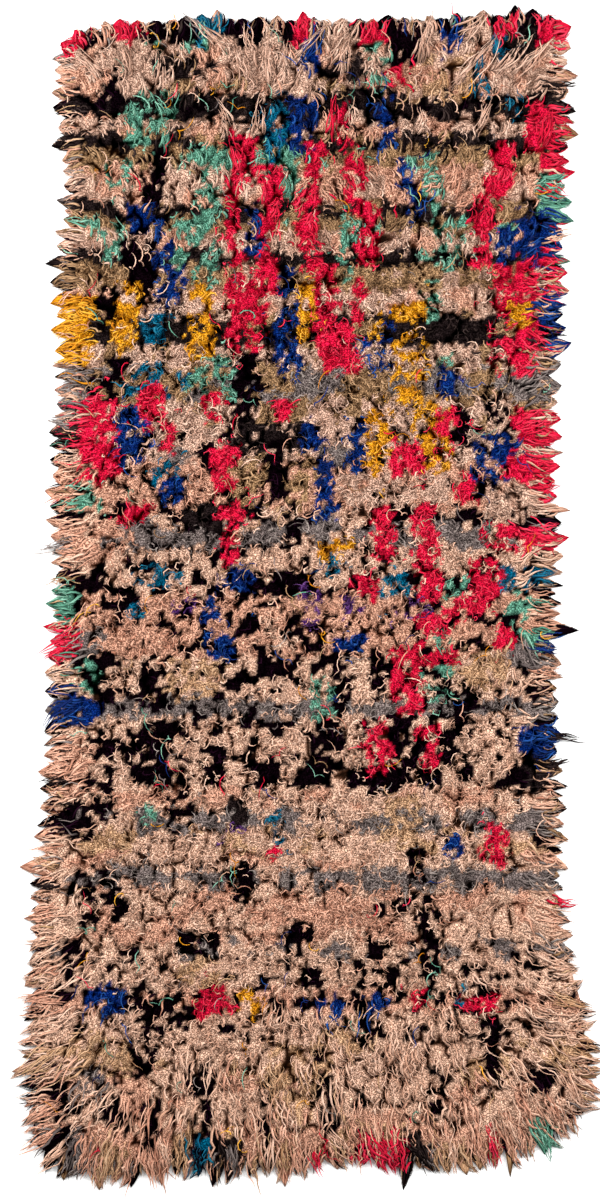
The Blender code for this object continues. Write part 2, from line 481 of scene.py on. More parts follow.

# %% [markdown]
# The weaver works from a plan of colours: bands that run across the rug, crossed by short runs of other
# yarns that are carried from row to row. It is charted here in whole centimetres. First come the bands,
# each with a second yarn that is mixed into it, and then the runs, one list for each yarn.

# %% The chart: bands and runs
YARNS = (
    "ivory", "cream", "peach", "camel", "straw", "grey", "charcoal", "black",
    "red", "blue", "teal", "mint", "ochre", "purple",
)
DARK_YARNS = ("charcoal", "black")
BLACK = YARNS.index("black")
BANDS = (
    # down to, yarn, mixed with, share of that
    (6, "black", "ivory", 0.08),
    (15, "ivory", "peach", 0.35),
    (20, "charcoal", "black", 0.20),
    (23, "ivory", "peach", 0.15),
    (26, "charcoal", "camel", 0.10),
    (29, "camel", "mint", 0.15),
    (36, "peach", "ivory", 0.45),
    (39, "charcoal", "camel", 0.10),
    (41, "camel", "mint", 0.10),
    (45, "ivory", "peach", 0.20),
    (48, "charcoal", "mint", 0.08),
    (52, "camel", "ivory", 0.15),
    (57, "ivory", "peach", 0.30),
    (63, "charcoal", "camel", 0.20),
    (67, "ivory", "camel", 0.20),
    (73, "camel", "grey", 0.35),
    (78, "ivory", "camel", 0.35),
    (85, "ivory", "black", 0.20),
    (94, "peach", "black", 0.22),
    (97, "black", "cream", 0.45),
    (101, "grey", "cream", 0.40),
    (106, "cream", "black", 0.28),
    (110, "black", "cream", 0.30),
    (116, "peach", "black", 0.26),
    (122, "peach", "black", 0.28),
    (130, "cream", "black", 0.34),
    (133, "grey", "black", 0.20),
    (142, "cream", "black", 0.42),
    (147, "black", "cream", 0.28),
    (151, "cream", "peach", 0.30),
    (155, "grey", "cream", 0.35),
    (159, "cream", "straw", 0.40),
    (162, "cream", "peach", 0.35),
    (166, "grey", "cream", 0.25),
    (176, "peach", "cream", 0.50),
    (179, "cream", "grey", 0.30),
    (185, "cream", "black", 0.10),
    (189, "peach", "black", 0.45),
    (195, "cream", "black", 0.14),
    (201, "cream", "straw", 0.35),
    (211, "cream", "peach", 0.30),
    (230, "peach", "straw", 0.35),
)
# Each run is (left, right, down from, down to), in centimetres across from the centre line and down.
RUNS = {
    "ivory": (
        (-12, -8, 47, 55), (5, 11, 4, 10), (22, 25, 3, 11), (30, 35, 1, 5), (-15, -1, 5, 15),
        (-30, -25, 48, 56), (-32, -14, 63, 67), (-25, -20, 73, 79), (3, 9, 75, 80), (7, 28, 86, 94),
        (34, 44, 88, 96),
    ),
    "cream": (
        (24, 33, 101, 107), (-8, -1, 111, 122), (8, 13, 123, 130), (8, 12, 134, 144), (33, 43, 132, 141),
        (-1, 10, 149, 157),
    ),
    "peach": (
        (4, 8, 29, 36), (-46, -32, 96, 104), (-7, 18, 111, 116), (-39, -23, 116, 122), (-48, -39, 137, 145),
        (-10, 13, 167, 174),
    ),
    "camel": (
        (-25, -12, 12, 15), (2, 12, 12, 15), (-14, 4, 84, 94),
    ),
    "straw": (
        (19, 34, 8, 16), (28, 39, 121, 128), (-26, -14, 122, 130), (-44, -36, 193, 200), (-8, 2, 196, 210),
        (5, 14, 190, 197), (14, 22, 148, 158), (-24, -16, 178, 184),
    ),
    "grey": (
        (-48, -40, 68, 75), (0, 8, 67, 72), (-26, -22, 82, 86), (3, 8, 82, 86), (2, 8, 95, 98),
        (14, 21, 99, 103), (-43, -39, 116, 122), (38, 45, 118, 124), (-43, -36, 200, 204),
        (22, 26, 214, 220), (-52, -40, 212, 222),
    ),
    "charcoal": (
        (-28, -17, 9, 12), (3, 12, 9, 12), (38, 44, 4, 9), (24, 37, 58, 63), (-46, -42, 78, 82),
        (-14, 0, 78, 83), (13, 18, 80, 84), (-22, -11, 93, 97), (42, 50, 141, 147), (-15, -11, 150, 154),
        (-51, -48, 164, 167), (18, 22, 213, 220), (-17, -12, 213, 220),
    ),
    "black": (
        (-39, -34, 10, 19), (15, 23, 2, 10), (-30, -26, 23, 38), (-34, -28, 41, 54), (-40, -36, 51, 61),
        (-13, -8, 63, 74), (-15, -9, 72, 78), (-40, -32, 65, 73), (28, 32, 74, 82), (34, 38, 71, 76),
        (37, 41, 76, 81), (-7, -3, 81, 93), (-20, -17, 85, 90), (-4, 0, 93, 101), (-12, -1, 107, 111),
        (-12, -9, 108, 118), (-16, -13, 118, 123), (-40, -36, 121, 129), (-31, -26, 124, 132),
        (-9, -4, 121, 126), (-4, 0, 114, 119), (6, 9, 121, 133), (13, 17, 121, 129), (28, 34, 129, 135),
        (2, 8, 134, 139), (1, 5, 140, 145), (16, 20, 135, 147), (-32, -27, 136, 139), (-40, -37, 135, 139),
        (-42, -36, 145, 153), (-26, -21, 143, 155), (-48, -38, 150, 156), (20, 23, 158, 165),
        (44, 49, 154, 158), (-15, -9, 161, 165), (-13, -10, 164, 169), (-44, -36, 162, 169),
        (-42, -39, 171, 175), (13, 20, 168, 171), (21, 25, 167, 171), (21, 24, 170, 177),
        (-24, -16, 174, 178), (-3, 2, 172, 178), (12, 17, 174, 179), (11, 17, 181, 185),
        (-36, -33, 166, 172), (-45, -41, 175, 184), (23, 26, 171, 182), (0, 4, 181, 184),
        (-34, -31, 177, 180), (40, 44, 176, 182), (-31, -26, 188, 194), (-24, -20, 187, 193),
        (10, 13, 190, 196), (34, 37, 190, 198), (-22, -17, 199, 205), (2, 5, 197, 206), (4, 6, 204, 214),
        (-8, -5, 203, 217), (26, 36, 185, 189), (-33, -22, 187, 190), (10, 12, 205, 212),
        (-32, -28, 194, 202), (24, 27, 199, 210), (-39, -36, 201, 210), (-30, -27, 205, 216),
        (-20, -17, 206, 219), (-50, -45, 202, 206), (-47, -43, 206, 210), (-50, -44, 212, 217),
        (-36, -33, 206, 212), (42, 47, 200, 204), (-46, -43, 176, 182), (35, 38, 197, 203),
    ),
    "mint": (
        (-31, -27, 6, 10), (-23, -17, 5, 8), (12, 16, 5, 15), (-34, -24, 15, 26), (-23, -14, 25, 30),
        (22, 26, 26, 36), (-37, -32, 28, 33), (-4, -1, 28, 36), (44, 49, 31, 41), (-21, -16, 30, 53),
        (7, 10, 34, 51), (24, 32, 35, 48), (-38, -34, 40, 48), (23, 26, 48, 59), (25, 30, 65, 68),
        (-21, -13, 64, 74), (-43, -38, 88, 94), (25, 31, 107, 111), (-48, -43, 109, 116),
        (23, 28, 116, 131), (38, 43, 110, 115), (41, 45, 116, 120), (-42, -39, 123, 128), (1, 6, 126, 134),
        (-31, -27, 150, 153), (43, 47, 210, 219),
    ),
    "teal": (
        (-19, -15, 0, 5), (34, 38, 4, 9), (32, 35, 11, 16), (-7, -3, 14, 28), (38, 41, 15, 19),
        (-30, -25, 56, 63), (-33, -21, 67, 73), (-29, -23, 85, 89), (3, 8, 102, 107), (36, 46, 105, 109),
        (-32, -22, 105, 108), (15, 21, 106, 111), (-34, -30, 111, 114), (-7, -5, 151, 154),
        (-6, -4, 155, 158), (29, 31, 185, 188), (-21, -17, 213, 220),
    ),
    "blue": (
        (0, 4, 4, 12), (26, 30, 3, 7), (-3, 3, 15, 27), (14, 18, 16, 26), (18, 22, 28, 40),
        (-34, -27, 36, 42), (-10, -7, 36, 47), (37, 49, 38, 48), (-28, -23, 43, 55), (-5, 0, 48, 70),
        (12, 17, 58, 67), (45, 51, 53, 64), (25, 30, 67, 73), (-35, -29, 74, 85), (-1, 4, 77, 84),
        (2, 6, 84, 96), (8, 12, 77, 86), (32, 41, 80, 89), (-27, -22, 88, 93), (-16, -10, 105, 110),
        (-19, -16, 111, 115), (-18, -14, 117, 122), (6, 13, 118, 121), (45, 49, 118, 121),
        (-46, -38, 129, 135), (42, 47, 134, 141), (27, 30, 154, 161), (-41, -34, 184, 189),
        (2, 7, 186, 190), (12, 16, 186, 190),
    ),
    "purple": (
        (-25, -21, 111, 115), (0, 3, 108, 117), (7, 11, 111, 115), (18, 23, 111, 115), (-15, -11, 154, 156),
    ),
    "red": (
        (-46, -42, 2, 7), (-36, -31, 1, 6), (-2, 2, 0, 6), (11, 16, 1, 6), (16, 20, 10, 13), (36, 40, 1, 5),
        (45, 50, 0, 6), (6, 9, 17, 26), (42, 49, 17, 26), (0, 4, 24, 35), (8, 12, 26, 30),
        (-14, -8, 23, 31), (46, 51, 26, 31), (35, 40, 24, 36), (-15, -12, 29, 44), (-8, -4, 28, 43),
        (-1, 3, 33, 49), (8, 12, 29, 37), (10, 15, 36, 48), (32, 36, 35, 49), (49, 51, 36, 42),
        (-15, -11, 44, 54), (-9, -5, 45, 54), (-14, -7, 52, 64), (2, 6, 44, 63), (3, 11, 59, 68),
        (9, 12, 51, 59), (36, 44, 47, 69), (45, 48, 45, 54), (-43, -35, 72, 89), (-31, -26, 70, 78),
        (-27, -24, 77, 83), (-19, -15, 72, 77), (-18, -12, 81, 86), (-6, -2, 72, 77), (24, 29, 75, 85),
        (16, 24, 81, 88), (40, 47, 75, 82), (38, 47, 83, 89), (-17, -13, 86, 91), (29, 33, 87, 93),
        (45, 50, 89, 93), (-35, -29, 93, 97), (-16, -11, 93, 96), (13, 18, 94, 104), (21, 26, 93, 112),
        (34, 49, 97, 102), (-16, -12, 97, 105), (31, 38, 103, 111), (10, 15, 106, 111),
        (-49, -42, 116, 123), (21, 27, 114, 118), (26, 36, 111, 115), (36, 40, 116, 121),
        (17, 30, 120, 124), (17, 23, 121, 133), (12, 17, 134, 145), (21, 26, 134, 138), (23, 26, 139, 143),
        (34, 39, 153, 161), (-7, -5, 158, 161), (49, 53, 167, 170), (-21, -14, 184, 190),
        (21, 23, 184, 189), (30, 37, 186, 188), (3, 5, 215, 221), (9, 20, 213, 219), (35, 37, 211, 219),
    ),
    "ochre": (
        (-47, -40, 53, 66), (-36, -31, 51, 64), (-22, -17, 52, 67), (-1, 2, 51, 62), (12, 15, 55, 62),
        (17, 24, 54, 59), (38, 43, 55, 59), (17, 23, 61, 74), (12, 17, 74, 83), (21, 25, 72, 80),
        (23, 28, 80, 88), (12, 14, 83, 87), (3, 10, 99, 103), (-12, -7, 186, 190),
    ),
}

print(len(BANDS), "bands and", sum(len(runs) for runs in RUNS.values()), "runs of other yarns")

# %% [markdown]
# How the chart is read. Tufts of one colour fall over their neighbours, so the edges of bands and runs
# are ragged, and colours are carried a little along the lie of the pile. Hardly any run is pure: yarns of
# the band show through it. Both come from smooth noise at several sizes.

# %% Read the chart
SOLIDITY = {
    # how much of a run is really in its yarn
    "red": 0.90, "blue": 0.72, "mint": 0.50, "teal": 0.62, "ochre": 0.74, "purple": 0.60, "camel": 0.60,
    "straw": 0.60, "black": 0.80,
}
USUAL_SOLIDITY = 0.82
GROWN = {"black": 0.3, "charcoal": 0.4}    # centimetres, as their neighbours lean over dark runs
CENTIMETRE = 0.01
ROUNDNESS = 3.5           # of a run's corners: 2 would be an ellipse
EDGE_WAVE = 0.009         # how far the edges of bands and runs wander
EDGE_SIZE = 0.034
FINE_WAVE = 0.010
FINE_SIZE = 0.010
STREAK = 0.012            # how far a colour is carried along the lie of the pile
STREAK_SIZE = 0.010
MIX_SIZE = 0.034
FLECK_SIZE = 0.016
SPECKLE_SIZE = 0.012
wave_across, wave_down = slow_noise(21, EDGE_SIZE), slow_noise(22, EDGE_SIZE)
fine_across, fine_down = slow_noise(25, FINE_SIZE), slow_noise(26, FINE_SIZE)
streak_along = slow_noise(27, STREAK_SIZE)
mixed_in = slow_noise(23, MIX_SIZE)
flecks = slow_noise(28, FLECK_SIZE)
speckle = slow_noise(24, SPECKLE_SIZE)


def numbers_of(names):
    """The places of these yarns in the list of yarns."""
    return [YARNS.index(name) for name in names]


def is_dark(yarns):
    return np.isin(yarns, numbers_of(DARK_YARNS))


band_ends = np.array([row[0] for row in BANDS]) * CENTIMETRE
band_yarn = np.array(numbers_of(row[1] for row in BANDS))
band_other = np.array(numbers_of(row[2] for row in BANDS))
band_share = np.array([row[3] for row in BANDS])


def yarn_at(x, y):
    """The number of the yarn that the chart gives for points in the rug's frame.

    The place is carried a little to and fro along the lie of the pile, so colours end in flames.
    """
    flow_x, flow_y, combed = lie_of(x, y)
    carried = STREAK * streak_along(x, y) * blend(0.5, 1.0, combed)
    across = x + CENTRE.x + EDGE_WAVE * wave_across(x, y) + FINE_WAVE * fine_across(x, y) + flow_x * carried
    up = y + CENTRE.y + EDGE_WAVE * wave_down(x, y) + FINE_WAVE * fine_down(x, y) + flow_y * carried
    down = -up
    band = np.clip(np.searchsorted(band_ends, down), 0, len(BANDS) - 1)
    mixture = np.where(is_dark(band_other[band]), flecks(x, y), mixed_in(x, y))
    is_mixed = (mixture * 0.8 + 0.5) < band_share[band]
    found = np.where(is_mixed, band_other[band], band_yarn[band])
    spot = speckle(x, y)
    at_rim = 1 - eased(rim_distance(x, y), 0.02, 0.05)
    for yarn, runs in RUNS.items():
        is_solid = spot < (SOLIDITY.get(yarn, USUAL_SOLIDITY) - 0.5) * 1.2 + at_rim
        more = GROWN.get(yarn, 0.0)
        for left, right, upper, lower in runs:
            aside = np.abs(2 * across / CENTIMETRE - left - right) / (right - left + 2 * more)
            along = np.abs(2 * down / CENTIMETRE - upper - lower) / (lower - upper + 2 * more)
            is_in = aside ** ROUNDNESS + along ** ROUNDNESS < 1
            found[is_in & is_solid] = YARNS.index(yarn)
    return found


print("the rug's middle is", YARNS[yarn_at(middle_x, middle_y)[0]])

# %% [markdown]
# One yarn is a thin tube round a curved line. A tube of three sides is enough, because it is only 3 mm
# thick and there are thousands of them, and shading it smooth rounds it. The tubes of one colour are
# joined in one mesh, made straight from arrays. The mesh's UV map is an atlas: each yarn lies in one of
# sixteen upright strips, and its strip sets its tone, so two yarns of a tuft are never quite alike. The
# last strips are for flat bundles, of yarns that cling to each other side by side.

# %% Tubes from arrays
SIDES = 3
TONES = 16
FIRST_BUNDLE = 9          # the first of the atlas's strips that are for bundles


def triangles_of(steps):
    """How many triangles one tube of this many rings has."""
    return (steps - 2) * SIDES * 2 + SIDES + 1


def unit(vectors):
    return vectors / (np.linalg.norm(vectors, axis=-1, keepdims=True) + 1e-12)


def tube_rings(paths, widths, heights, sides):
    """Rings of points round each path. Each ring's frame is carried on from the one before it."""
    count, steps, _ = paths.shape
    ahead = unit(np.gradient(paths, axis=1))
    side = unit(np.cross(ahead[:, 0], (0.05, 0.07, 1.0)))
    rings = np.empty((count, steps, sides, 3))
    for step in range(steps):
        forward = ahead[:, step]
        side = unit(side - (side * forward).sum(1, keepdims=True) * forward)
        up = np.cross(forward, side)
        for corner in range(sides):
            angle = 2 * math.pi * corner / sides
            offset = math.cos(angle) * side * widths[:, step, None]
            offset = offset + math.sin(angle) * up * heights[:, step, None]
            rings[:, step, corner] = paths[:, step] + offset
    return rings


def tube_faces(steps, sides):
    """(quads, triangles, foot) of one tube, as numbers of its points, with the faces outwards.

    A tube ends in one point, so its last ring of faces is of triangles. One more face closes its foot.
    """
    quads = []
    for step in range(steps - 2):
        for corner in range(sides):
            after = (corner + 1) % sides
            low, high = step * sides, (step + 1) * sides
            quads.append((low + corner, low + after, high + after, high + corner))
    last = (steps - 2) * sides
    triangles = [(last + corner, last + (corner + 1) % sides, last + sides) for corner in range(sides)]
    return quads, triangles, list(reversed(range(sides)))


def tube_uvs(steps, sides, tones):
    """The place in the atlas of each corner of each face, in the order of the faces."""
    corners = []
    for step in range(steps - 2):
        low, high = step / (steps - 1), (step + 1) / (steps - 1)
        for corner in range(sides):
            left, right = corner / sides, (corner + 1) / sides
            corners += [(left, low), (right, low), (right, high), (left, high)]
    low = (steps - 2) / (steps - 1)
    for corner in range(sides):
        left, right = corner / sides, (corner + 1) / sides
        corners += [(left, low), (right, low), ((left + right) / 2, 1.0)]
    corners += [(corner / sides, 0.0) for corner in range(sides)]
    found = np.tile(np.array(corners)[None], (len(tones), 1, 1))
    found[..., 0] = (tones[:, None] + found[..., 0]) / TONES
    return found


def tube_mesh(name, batches):
    """One mesh of all the tubes in these batches of (paths, widths, heights, sides, tones)."""
    points, indices, sizes, uvs = [], [], [], []
    first = 0
    for paths, widths, heights, sides, tones in batches:
        count, steps, _ = paths.shape
        rings = tube_rings(paths, widths, heights, sides)[:, :-1].reshape(count, -1, 3)
        points.append(np.concatenate([rings, paths[:, -1:]], axis=1).reshape(-1, 3))
        quads, triangles, foot = tube_faces(steps, sides)
        one = np.concatenate([np.ravel(quads), np.ravel(triangles), foot])
        each = (steps - 1) * sides + 1
        shift = first + np.arange(count)[:, None] * each
        indices.append((one[None] + shift).ravel())
        sizes.append(np.tile([4] * len(quads) + [3] * len(triangles) + [sides], count))
        uvs.append(tube_uvs(steps, sides, tones).reshape(-1, 2))
        first += count * each
    points, indices = np.concatenate(points), np.concatenate(indices)
    sizes, uvs = np.concatenate(sizes), np.concatenate(uvs)
    mesh = bpy.data.meshes.new(name)
    mesh.vertices.add(len(points))
    mesh.vertices.foreach_set("co", points.astype(np.float32).ravel())
    mesh.loops.add(len(indices))
    mesh.loops.foreach_set("vertex_index", indices.astype(np.int32))
    mesh.polygons.add(len(sizes))
    starts = np.concatenate([[0], np.cumsum(sizes)[:-1]])
    mesh.polygons.foreach_set("loop_start", starts.astype(np.int32))
    mesh.update(calc_edges=True)
    layer = mesh.uv_layers.new(name="OFBake")
    layer.data.foreach_set("uv", uvs.astype(np.float32).ravel())
    mesh.shade_smooth()
    return mesh


def add_piece(name, mesh, material):
    """A finished piece: its object at the origin, riding on the rug, with its finish."""
    mesh.materials.append(material)
    piece = bpy.data.objects.new(name, mesh)
    bpy.context.scene.collection.objects.link(piece)
    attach(piece, "root")
    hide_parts(RUG)
    return piece


print("a yarn of six rings has", triangles_of(6), "triangles")

# %% [markdown]
# Finishes are built from shader nodes. Each of these helpers adds one node and returns what comes out of
# it, so that a finish reads like the sums that it does. The last one is wool in the shade. Light that has
# passed through wool makes it deeper and warmer rather than grey, so its dark tones are the colour
# multiplied by itself.

# %% Helpers for materials
def linear(red, green, blue):
    """A colour as a screen shows it, from 0 to 255, as the linear values that shaders use."""
    def value(level):
        level /= 255
        return level / 12.92 if level <= 0.04045 else ((level + 0.055) / 1.055) ** 2.4
    return (value(red), value(green), value(blue), 1.0)


def new_material(name, roughness, specular):
    """(material, its node tree, its shader)."""
    material = bpy.data.materials.new(name)
    material.use_nodes = True
    shader = material.node_tree.nodes["Principled BSDF"]
    shader.inputs["Roughness"].default_value = roughness
    shader.inputs["Specular IOR Level"].default_value = specular
    return material, material.node_tree, shader


def fill(tree, socket, value):
    """Links a socket to another one, or sets it to a value."""
    if isinstance(value, bpy.types.NodeSocket):
        tree.links.new(value, socket)
    elif value is not None:
        socket.default_value = value


def math_node(tree, operation, first, second=None):
    node = tree.nodes.new("ShaderNodeMath")
    node.operation = operation
    fill(tree, node.inputs[0], first)
    fill(tree, node.inputs[1], second)
    return node.outputs[0]


def parts_of(tree, vector):
    """The x, y and z of a vector, or the red, green and blue of a colour."""
    node = tree.nodes.new("ShaderNodeSeparateXYZ")
    tree.links.new(vector, node.inputs[0])
    return node.outputs


def own_uv(tree):
    node = tree.nodes.new("ShaderNodeUVMap")
    node.uv_map = "OFBake"
    return node.outputs[0]


def own_place(tree):
    return tree.nodes.new("ShaderNodeTexCoord").outputs["Object"]


def stored_yarn(tree):
    """The yarn colour that is stored on a piece's points."""
    node = tree.nodes.new("ShaderNodeAttribute")
    node.attribute_name = "yarn_colour"
    return node


def mix_colours(tree, share, first, second, way="MIX"):
    node = tree.nodes.new("ShaderNodeMix")
    node.data_type = "RGBA"
    node.blend_type = way
    for index, value in ((0, share), (6, first), (7, second)):
        fill(tree, node.inputs[index], value)
    return node.outputs[2]


def mix_values(tree, share, first, second):
    node = tree.nodes.new("ShaderNodeMix")
    for index, value in ((0, share), (2, first), (3, second)):
        fill(tree, node.inputs[index], value)
    return node.outputs[0]


def mapped(tree, value, from_low, from_high, to_low, to_high):
    node = tree.nodes.new("ShaderNodeMapRange")
    fill(tree, node.inputs["Value"], value)
    names = ("From Min", "From Max", "To Min", "To Max")
    for name, limit in zip(names, (from_low, from_high, to_low, to_high)):
        node.inputs[name].default_value = limit
    return node.outputs[0]


def noise_node(tree, vector, scale, detail=2.0, distortion=0.0):
    node = tree.nodes.new("ShaderNodeTexNoise")
    node.inputs["Scale"].default_value = scale
    node.inputs["Detail"].default_value = detail
    node.inputs["Distortion"].default_value = distortion
    fill(tree, node.inputs["Vector"], vector)
    return node


def bump_node(tree, height, strength, distance):
    node = tree.nodes.new("ShaderNodeBump")
    node.inputs["Strength"].default_value = strength
    node.inputs["Distance"].default_value = distance
    fill(tree, node.inputs["Height"], height)
    return node.outputs[0]


def new_group(name, inputs, outputs):
    """An empty node group with these sockets, as (name, kind, default) and (name, kind)."""
    group = bpy.data.node_groups.new(name, "ShaderNodeTree")
    for label, kind, default in inputs:
        group.interface.new_socket(label, in_out="INPUT", socket_type=kind).default_value = default
    for label, kind in outputs:
        group.interface.new_socket(label, in_out="OUTPUT", socket_type=kind)
    start = group.nodes.new("NodeGroupInput")
    end = group.nodes.new("NodeGroupOutput")
    return group, start, end


SHADE_DEPTH = 0.80        # how much darker than its deep tone wool is in full shade


def shaded_wool(tree, colour, light):
    """Wool of this colour where this share of the light reaches it: deeper and warmer in the shade."""
    deep = mix_colours(tree, 1.0, colour, colour, "MULTIPLY")
    deep = mix_colours(tree, SHADE_DEPTH, deep, (0.0, 0.0, 0.0, 1.0))
    return mix_colours(tree, light, deep, colour)


print("a screen's middle grey is", round(linear(128, 128, 128)[0], 3), "of white's light")

# %% [markdown]
# Spun wool, in every colour. Close up, a yarn is two plies twisted round each other, dull and slightly
# fuzzy, and its tone changes a little from end to end because it was dyed or spun by hand. All colours
# share one node group. It reads the atlas: the strip gives a yarn's tone, the height in it how far along
# the yarn a place is, and in a bundle the place across the strip tells its yarns apart.

# %% The yarns' finish
PLY_TURNS = 9.0           # twists of the two plies along one yarn
PLY_DEPTH = 0.0004
FOOT_LIGHT = 0.38         # the light that reaches a yarn's foot
FOOT_SHARE = 0.42         # how far up the yarn the shade reaches
DYE_DRIFT = 0.7
PLY_SHADE = 0.25
BUNDLED = 6.0             # yarns round a bundle, two of them on its upper side
BETWEEN = 0.28            # the light between two yarns of a bundle
OWN_TONE = 0.5            # how much the yarns of one bundle differ in tone
MEMBER_STEP = 17.3        # keeps the chances of a bundle's yarns apart
STRIP_STEP = 3.7          # keeps the dye of the strips apart
DYE_LENGTH = 2.6          # how often the dye changes along one yarn
ROUGHNESS = 0.86
ROUGHNESS_DRIFT = 0.2     # how much the dye's changes alter it


def make_yarn_group():
    group, start, end = new_group(
        "spun_yarn",
        (
            ("Deep", "NodeSocketColor", (0.2, 0.2, 0.2, 1)),
            ("Middle", "NodeSocketColor", (0.5, 0.5, 0.5, 1)),
            ("Pale", "NodeSocketColor", (0.8, 0.8, 0.8, 1)),
        ),
        (("Colour", "NodeSocketColor"), ("Roughness", "NodeSocketFloat"), ("Normal", "NodeSocketVector")),
    )
    times = partial(math_node, group, "MULTIPLY")
    plus = partial(math_node, group, "ADD")
    minus = partial(math_node, group, "SUBTRACT")
    across, height, _depth = parts_of(group, own_uv(group))
    strip = times(across, float(TONES))
    number = math_node(group, "FLOOR", strip)
    around = math_node(group, "FRACT", strip)

    is_bundle = math_node(group, "GREATER_THAN", number, FIRST_BUNDLE - 0.5)
    place_in = times(around, BUNDLED)
    member = times(math_node(group, "FLOOR", place_in), is_bundle)
    off_middle = math_node(group, "ABSOLUTE", minus(math_node(group, "FRACT", place_in), 0.5))
    crest = mapped(group, off_middle, 0.5, 0.2, 0.0, 1.0)

    last = mix_values(group, is_bundle, FIRST_BUNDLE - 1.0, TONES - FIRST_BUNDLE - 1.0)
    level = math_node(group, "DIVIDE", minus(number, times(is_bundle, float(FIRST_BUNDLE))), last)
    chance = group.nodes.new("ShaderNodeTexWhiteNoise")
    chance.noise_dimensions = "1D"
    group.links.new(plus(number, times(member, MEMBER_STEP)), chance.inputs["W"])
    own = times(minus(chance.outputs["Value"], 0.5), is_bundle)
    level = plus(level, times(own, OWN_TONE))
    place = group.nodes.new("ShaderNodeCombineXYZ")
    group.links.new(times(number, STRIP_STEP), place.inputs[0])
    group.links.new(times(height, DYE_LENGTH), place.inputs[1])
    dye = minus(noise_node(group, place.outputs[0], 1.0).outputs["Fac"], 0.5)
    twice = times(plus(level, times(dye, DYE_DRIFT)), 2.0)
    low = mix_colours(group, twice, start.outputs["Deep"], start.outputs["Middle"])
    above = math_node(group, "MAXIMUM", minus(twice, 1.0), 0.0)
    colour = mix_colours(group, above, low, start.outputs["Pale"])

    turns = plus(times(around, 2.0), times(height, PLY_TURNS))
    ply = math_node(group, "SINE", times(turns, 2 * math.pi))
    foot = mapped(group, height, 0.0, FOOT_SHARE, FOOT_LIGHT, 1.0)
    twisted = mapped(group, ply, -1.0, 0.0, 1.0 - PLY_SHADE, 1.0)
    groove = mix_values(group, is_bundle, twisted, mapped(group, crest, 0.0, 1.0, BETWEEN, 1.0))
    relief = mix_values(group, is_bundle, ply, times(crest, 2.0))
    group.links.new(shaded_wool(group, colour, times(foot, groove)), end.inputs["Colour"])
    group.links.new(bump_node(group, relief, 0.8, PLY_DEPTH), end.inputs["Normal"])
    group.links.new(plus(times(dye, ROUGHNESS_DRIFT), ROUGHNESS), end.inputs["Roughness"])
    return group


yarn_group = make_yarn_group()
WOOL_TONES = {
    # deep, middle and pale tone of each yarn, as a screen shows them
    "ivory": ((150, 112, 92), (206, 164, 142), (230, 194, 172)),
    "cream": ((188, 140, 114), (220, 174, 148), (234, 194, 170)),
    "peach": ((176, 118, 94), (210, 154, 128), (226, 174, 148)),
    "camel": ((118, 86, 60), (156, 120, 86), (190, 152, 114)),
    "straw": ((166, 122, 86), (196, 152, 116), (216, 176, 140)),
    "grey": ((90, 79, 77), (122, 108, 104), (150, 137, 130)),
    "charcoal": ((14, 9, 9), (30, 22, 22), (60, 48, 45)),
    "black": ((3, 0, 2), (10, 3, 7), (32, 11, 26)),
    "red": ((176, 8, 38), (216, 22, 58), (236, 58, 86)),
    "blue": ((4, 16, 58), (9, 38, 104), (28, 76, 146)),
    "teal": ((0, 54, 78), (4, 88, 118), (36, 122, 148)),
    "mint": ((66, 116, 98), (96, 154, 130), (138, 188, 164)),
    "ochre": ((188, 112, 14), (220, 146, 26), (238, 176, 60)),
    "purple": ((52, 22, 76), (80, 42, 104), (108, 68, 128)),
}
SHINE = 0.1
SHEEN = 0.10
SHEEN_ROUGHNESS = 0.6


def yarn_material(yarn):
    material, tree, shader = new_material(yarn + "_wool", ROUGHNESS, 0.0 if yarn in DARK_YARNS else SHINE)
    wool = tree.nodes.new("ShaderNodeGroup")
    wool.node_tree = yarn_group
    for name, tone in zip(("Deep", "Middle", "Pale"), WOOL_TONES[yarn]):
        wool.inputs[name].default_value = linear(*tone)
    for output, socket in (("Colour", "Base Color"), ("Roughness", "Roughness"), ("Normal", "Normal")):
        tree.links.new(wool.outputs[output], shader.inputs[socket])
    shader.inputs["Sheen Weight"].default_value = 0.0 if yarn in DARK_YARNS else SHEEN
    shader.inputs["Sheen Roughness"].default_value = SHEEN_ROUGHNESS
    shader.inputs["Sheen Tint"].default_value = linear(*WOOL_TONES[yarn][2])
    return material


wools = {yarn: yarn_material(yarn) for yarn in YARNS}
print(len(wools), "wools")

# %% [markdown]
# The woven ground. Warps run the rug's length, wefts cross them, and each row of knots loops round the
# warps, so the back shows rows of small knots in the colours of the pile. It is a thin flat cloth, shaped
# to the field's outline. The knots' colours are stored on its points.

# %% The woven ground
GROUND_THICKNESS = 0.003
GROUND_INSET = 0.010
GROUND_STEPS = (70, 154)  # squares across and along
KNOT_ROW = 0.0105         # a row of knots and its wefts
KNOT_WIDTH = 0.0085
KNOT_SHARE = -0.35        # the height of the wave, from -1 to 1, over which a row is knots
WEFT = (168, 140, 108)


def on_field(u, v, inset):
    """A point of the field, from shares of its width and length."""
    downs = np.array([row[0] for row in SIDE_EDGES])
    lefts = np.array([row[1] for row in SIDE_EDGES]) - inset
    rights = np.array([row[2] for row in SIDE_EDGES]) - inset
    upper = np.array(UPPER_EDGE)
    lower = np.array(LOWER_EDGE)[::-1]
    down = blend(lower[:, 1].max(), 0.0, v)
    across = blend(-np.interp(down, downs, lefts), np.interp(down, downs, rights), u)
    top = np.interp(across, upper[:, 0], upper[:, 1]) + inset
    bottom = np.interp(across, lower[:, 0], lower[:, 1]) - inset
    down = blend(bottom, top, v)
    return across - CENTRE.x, -down - CENTRE.y


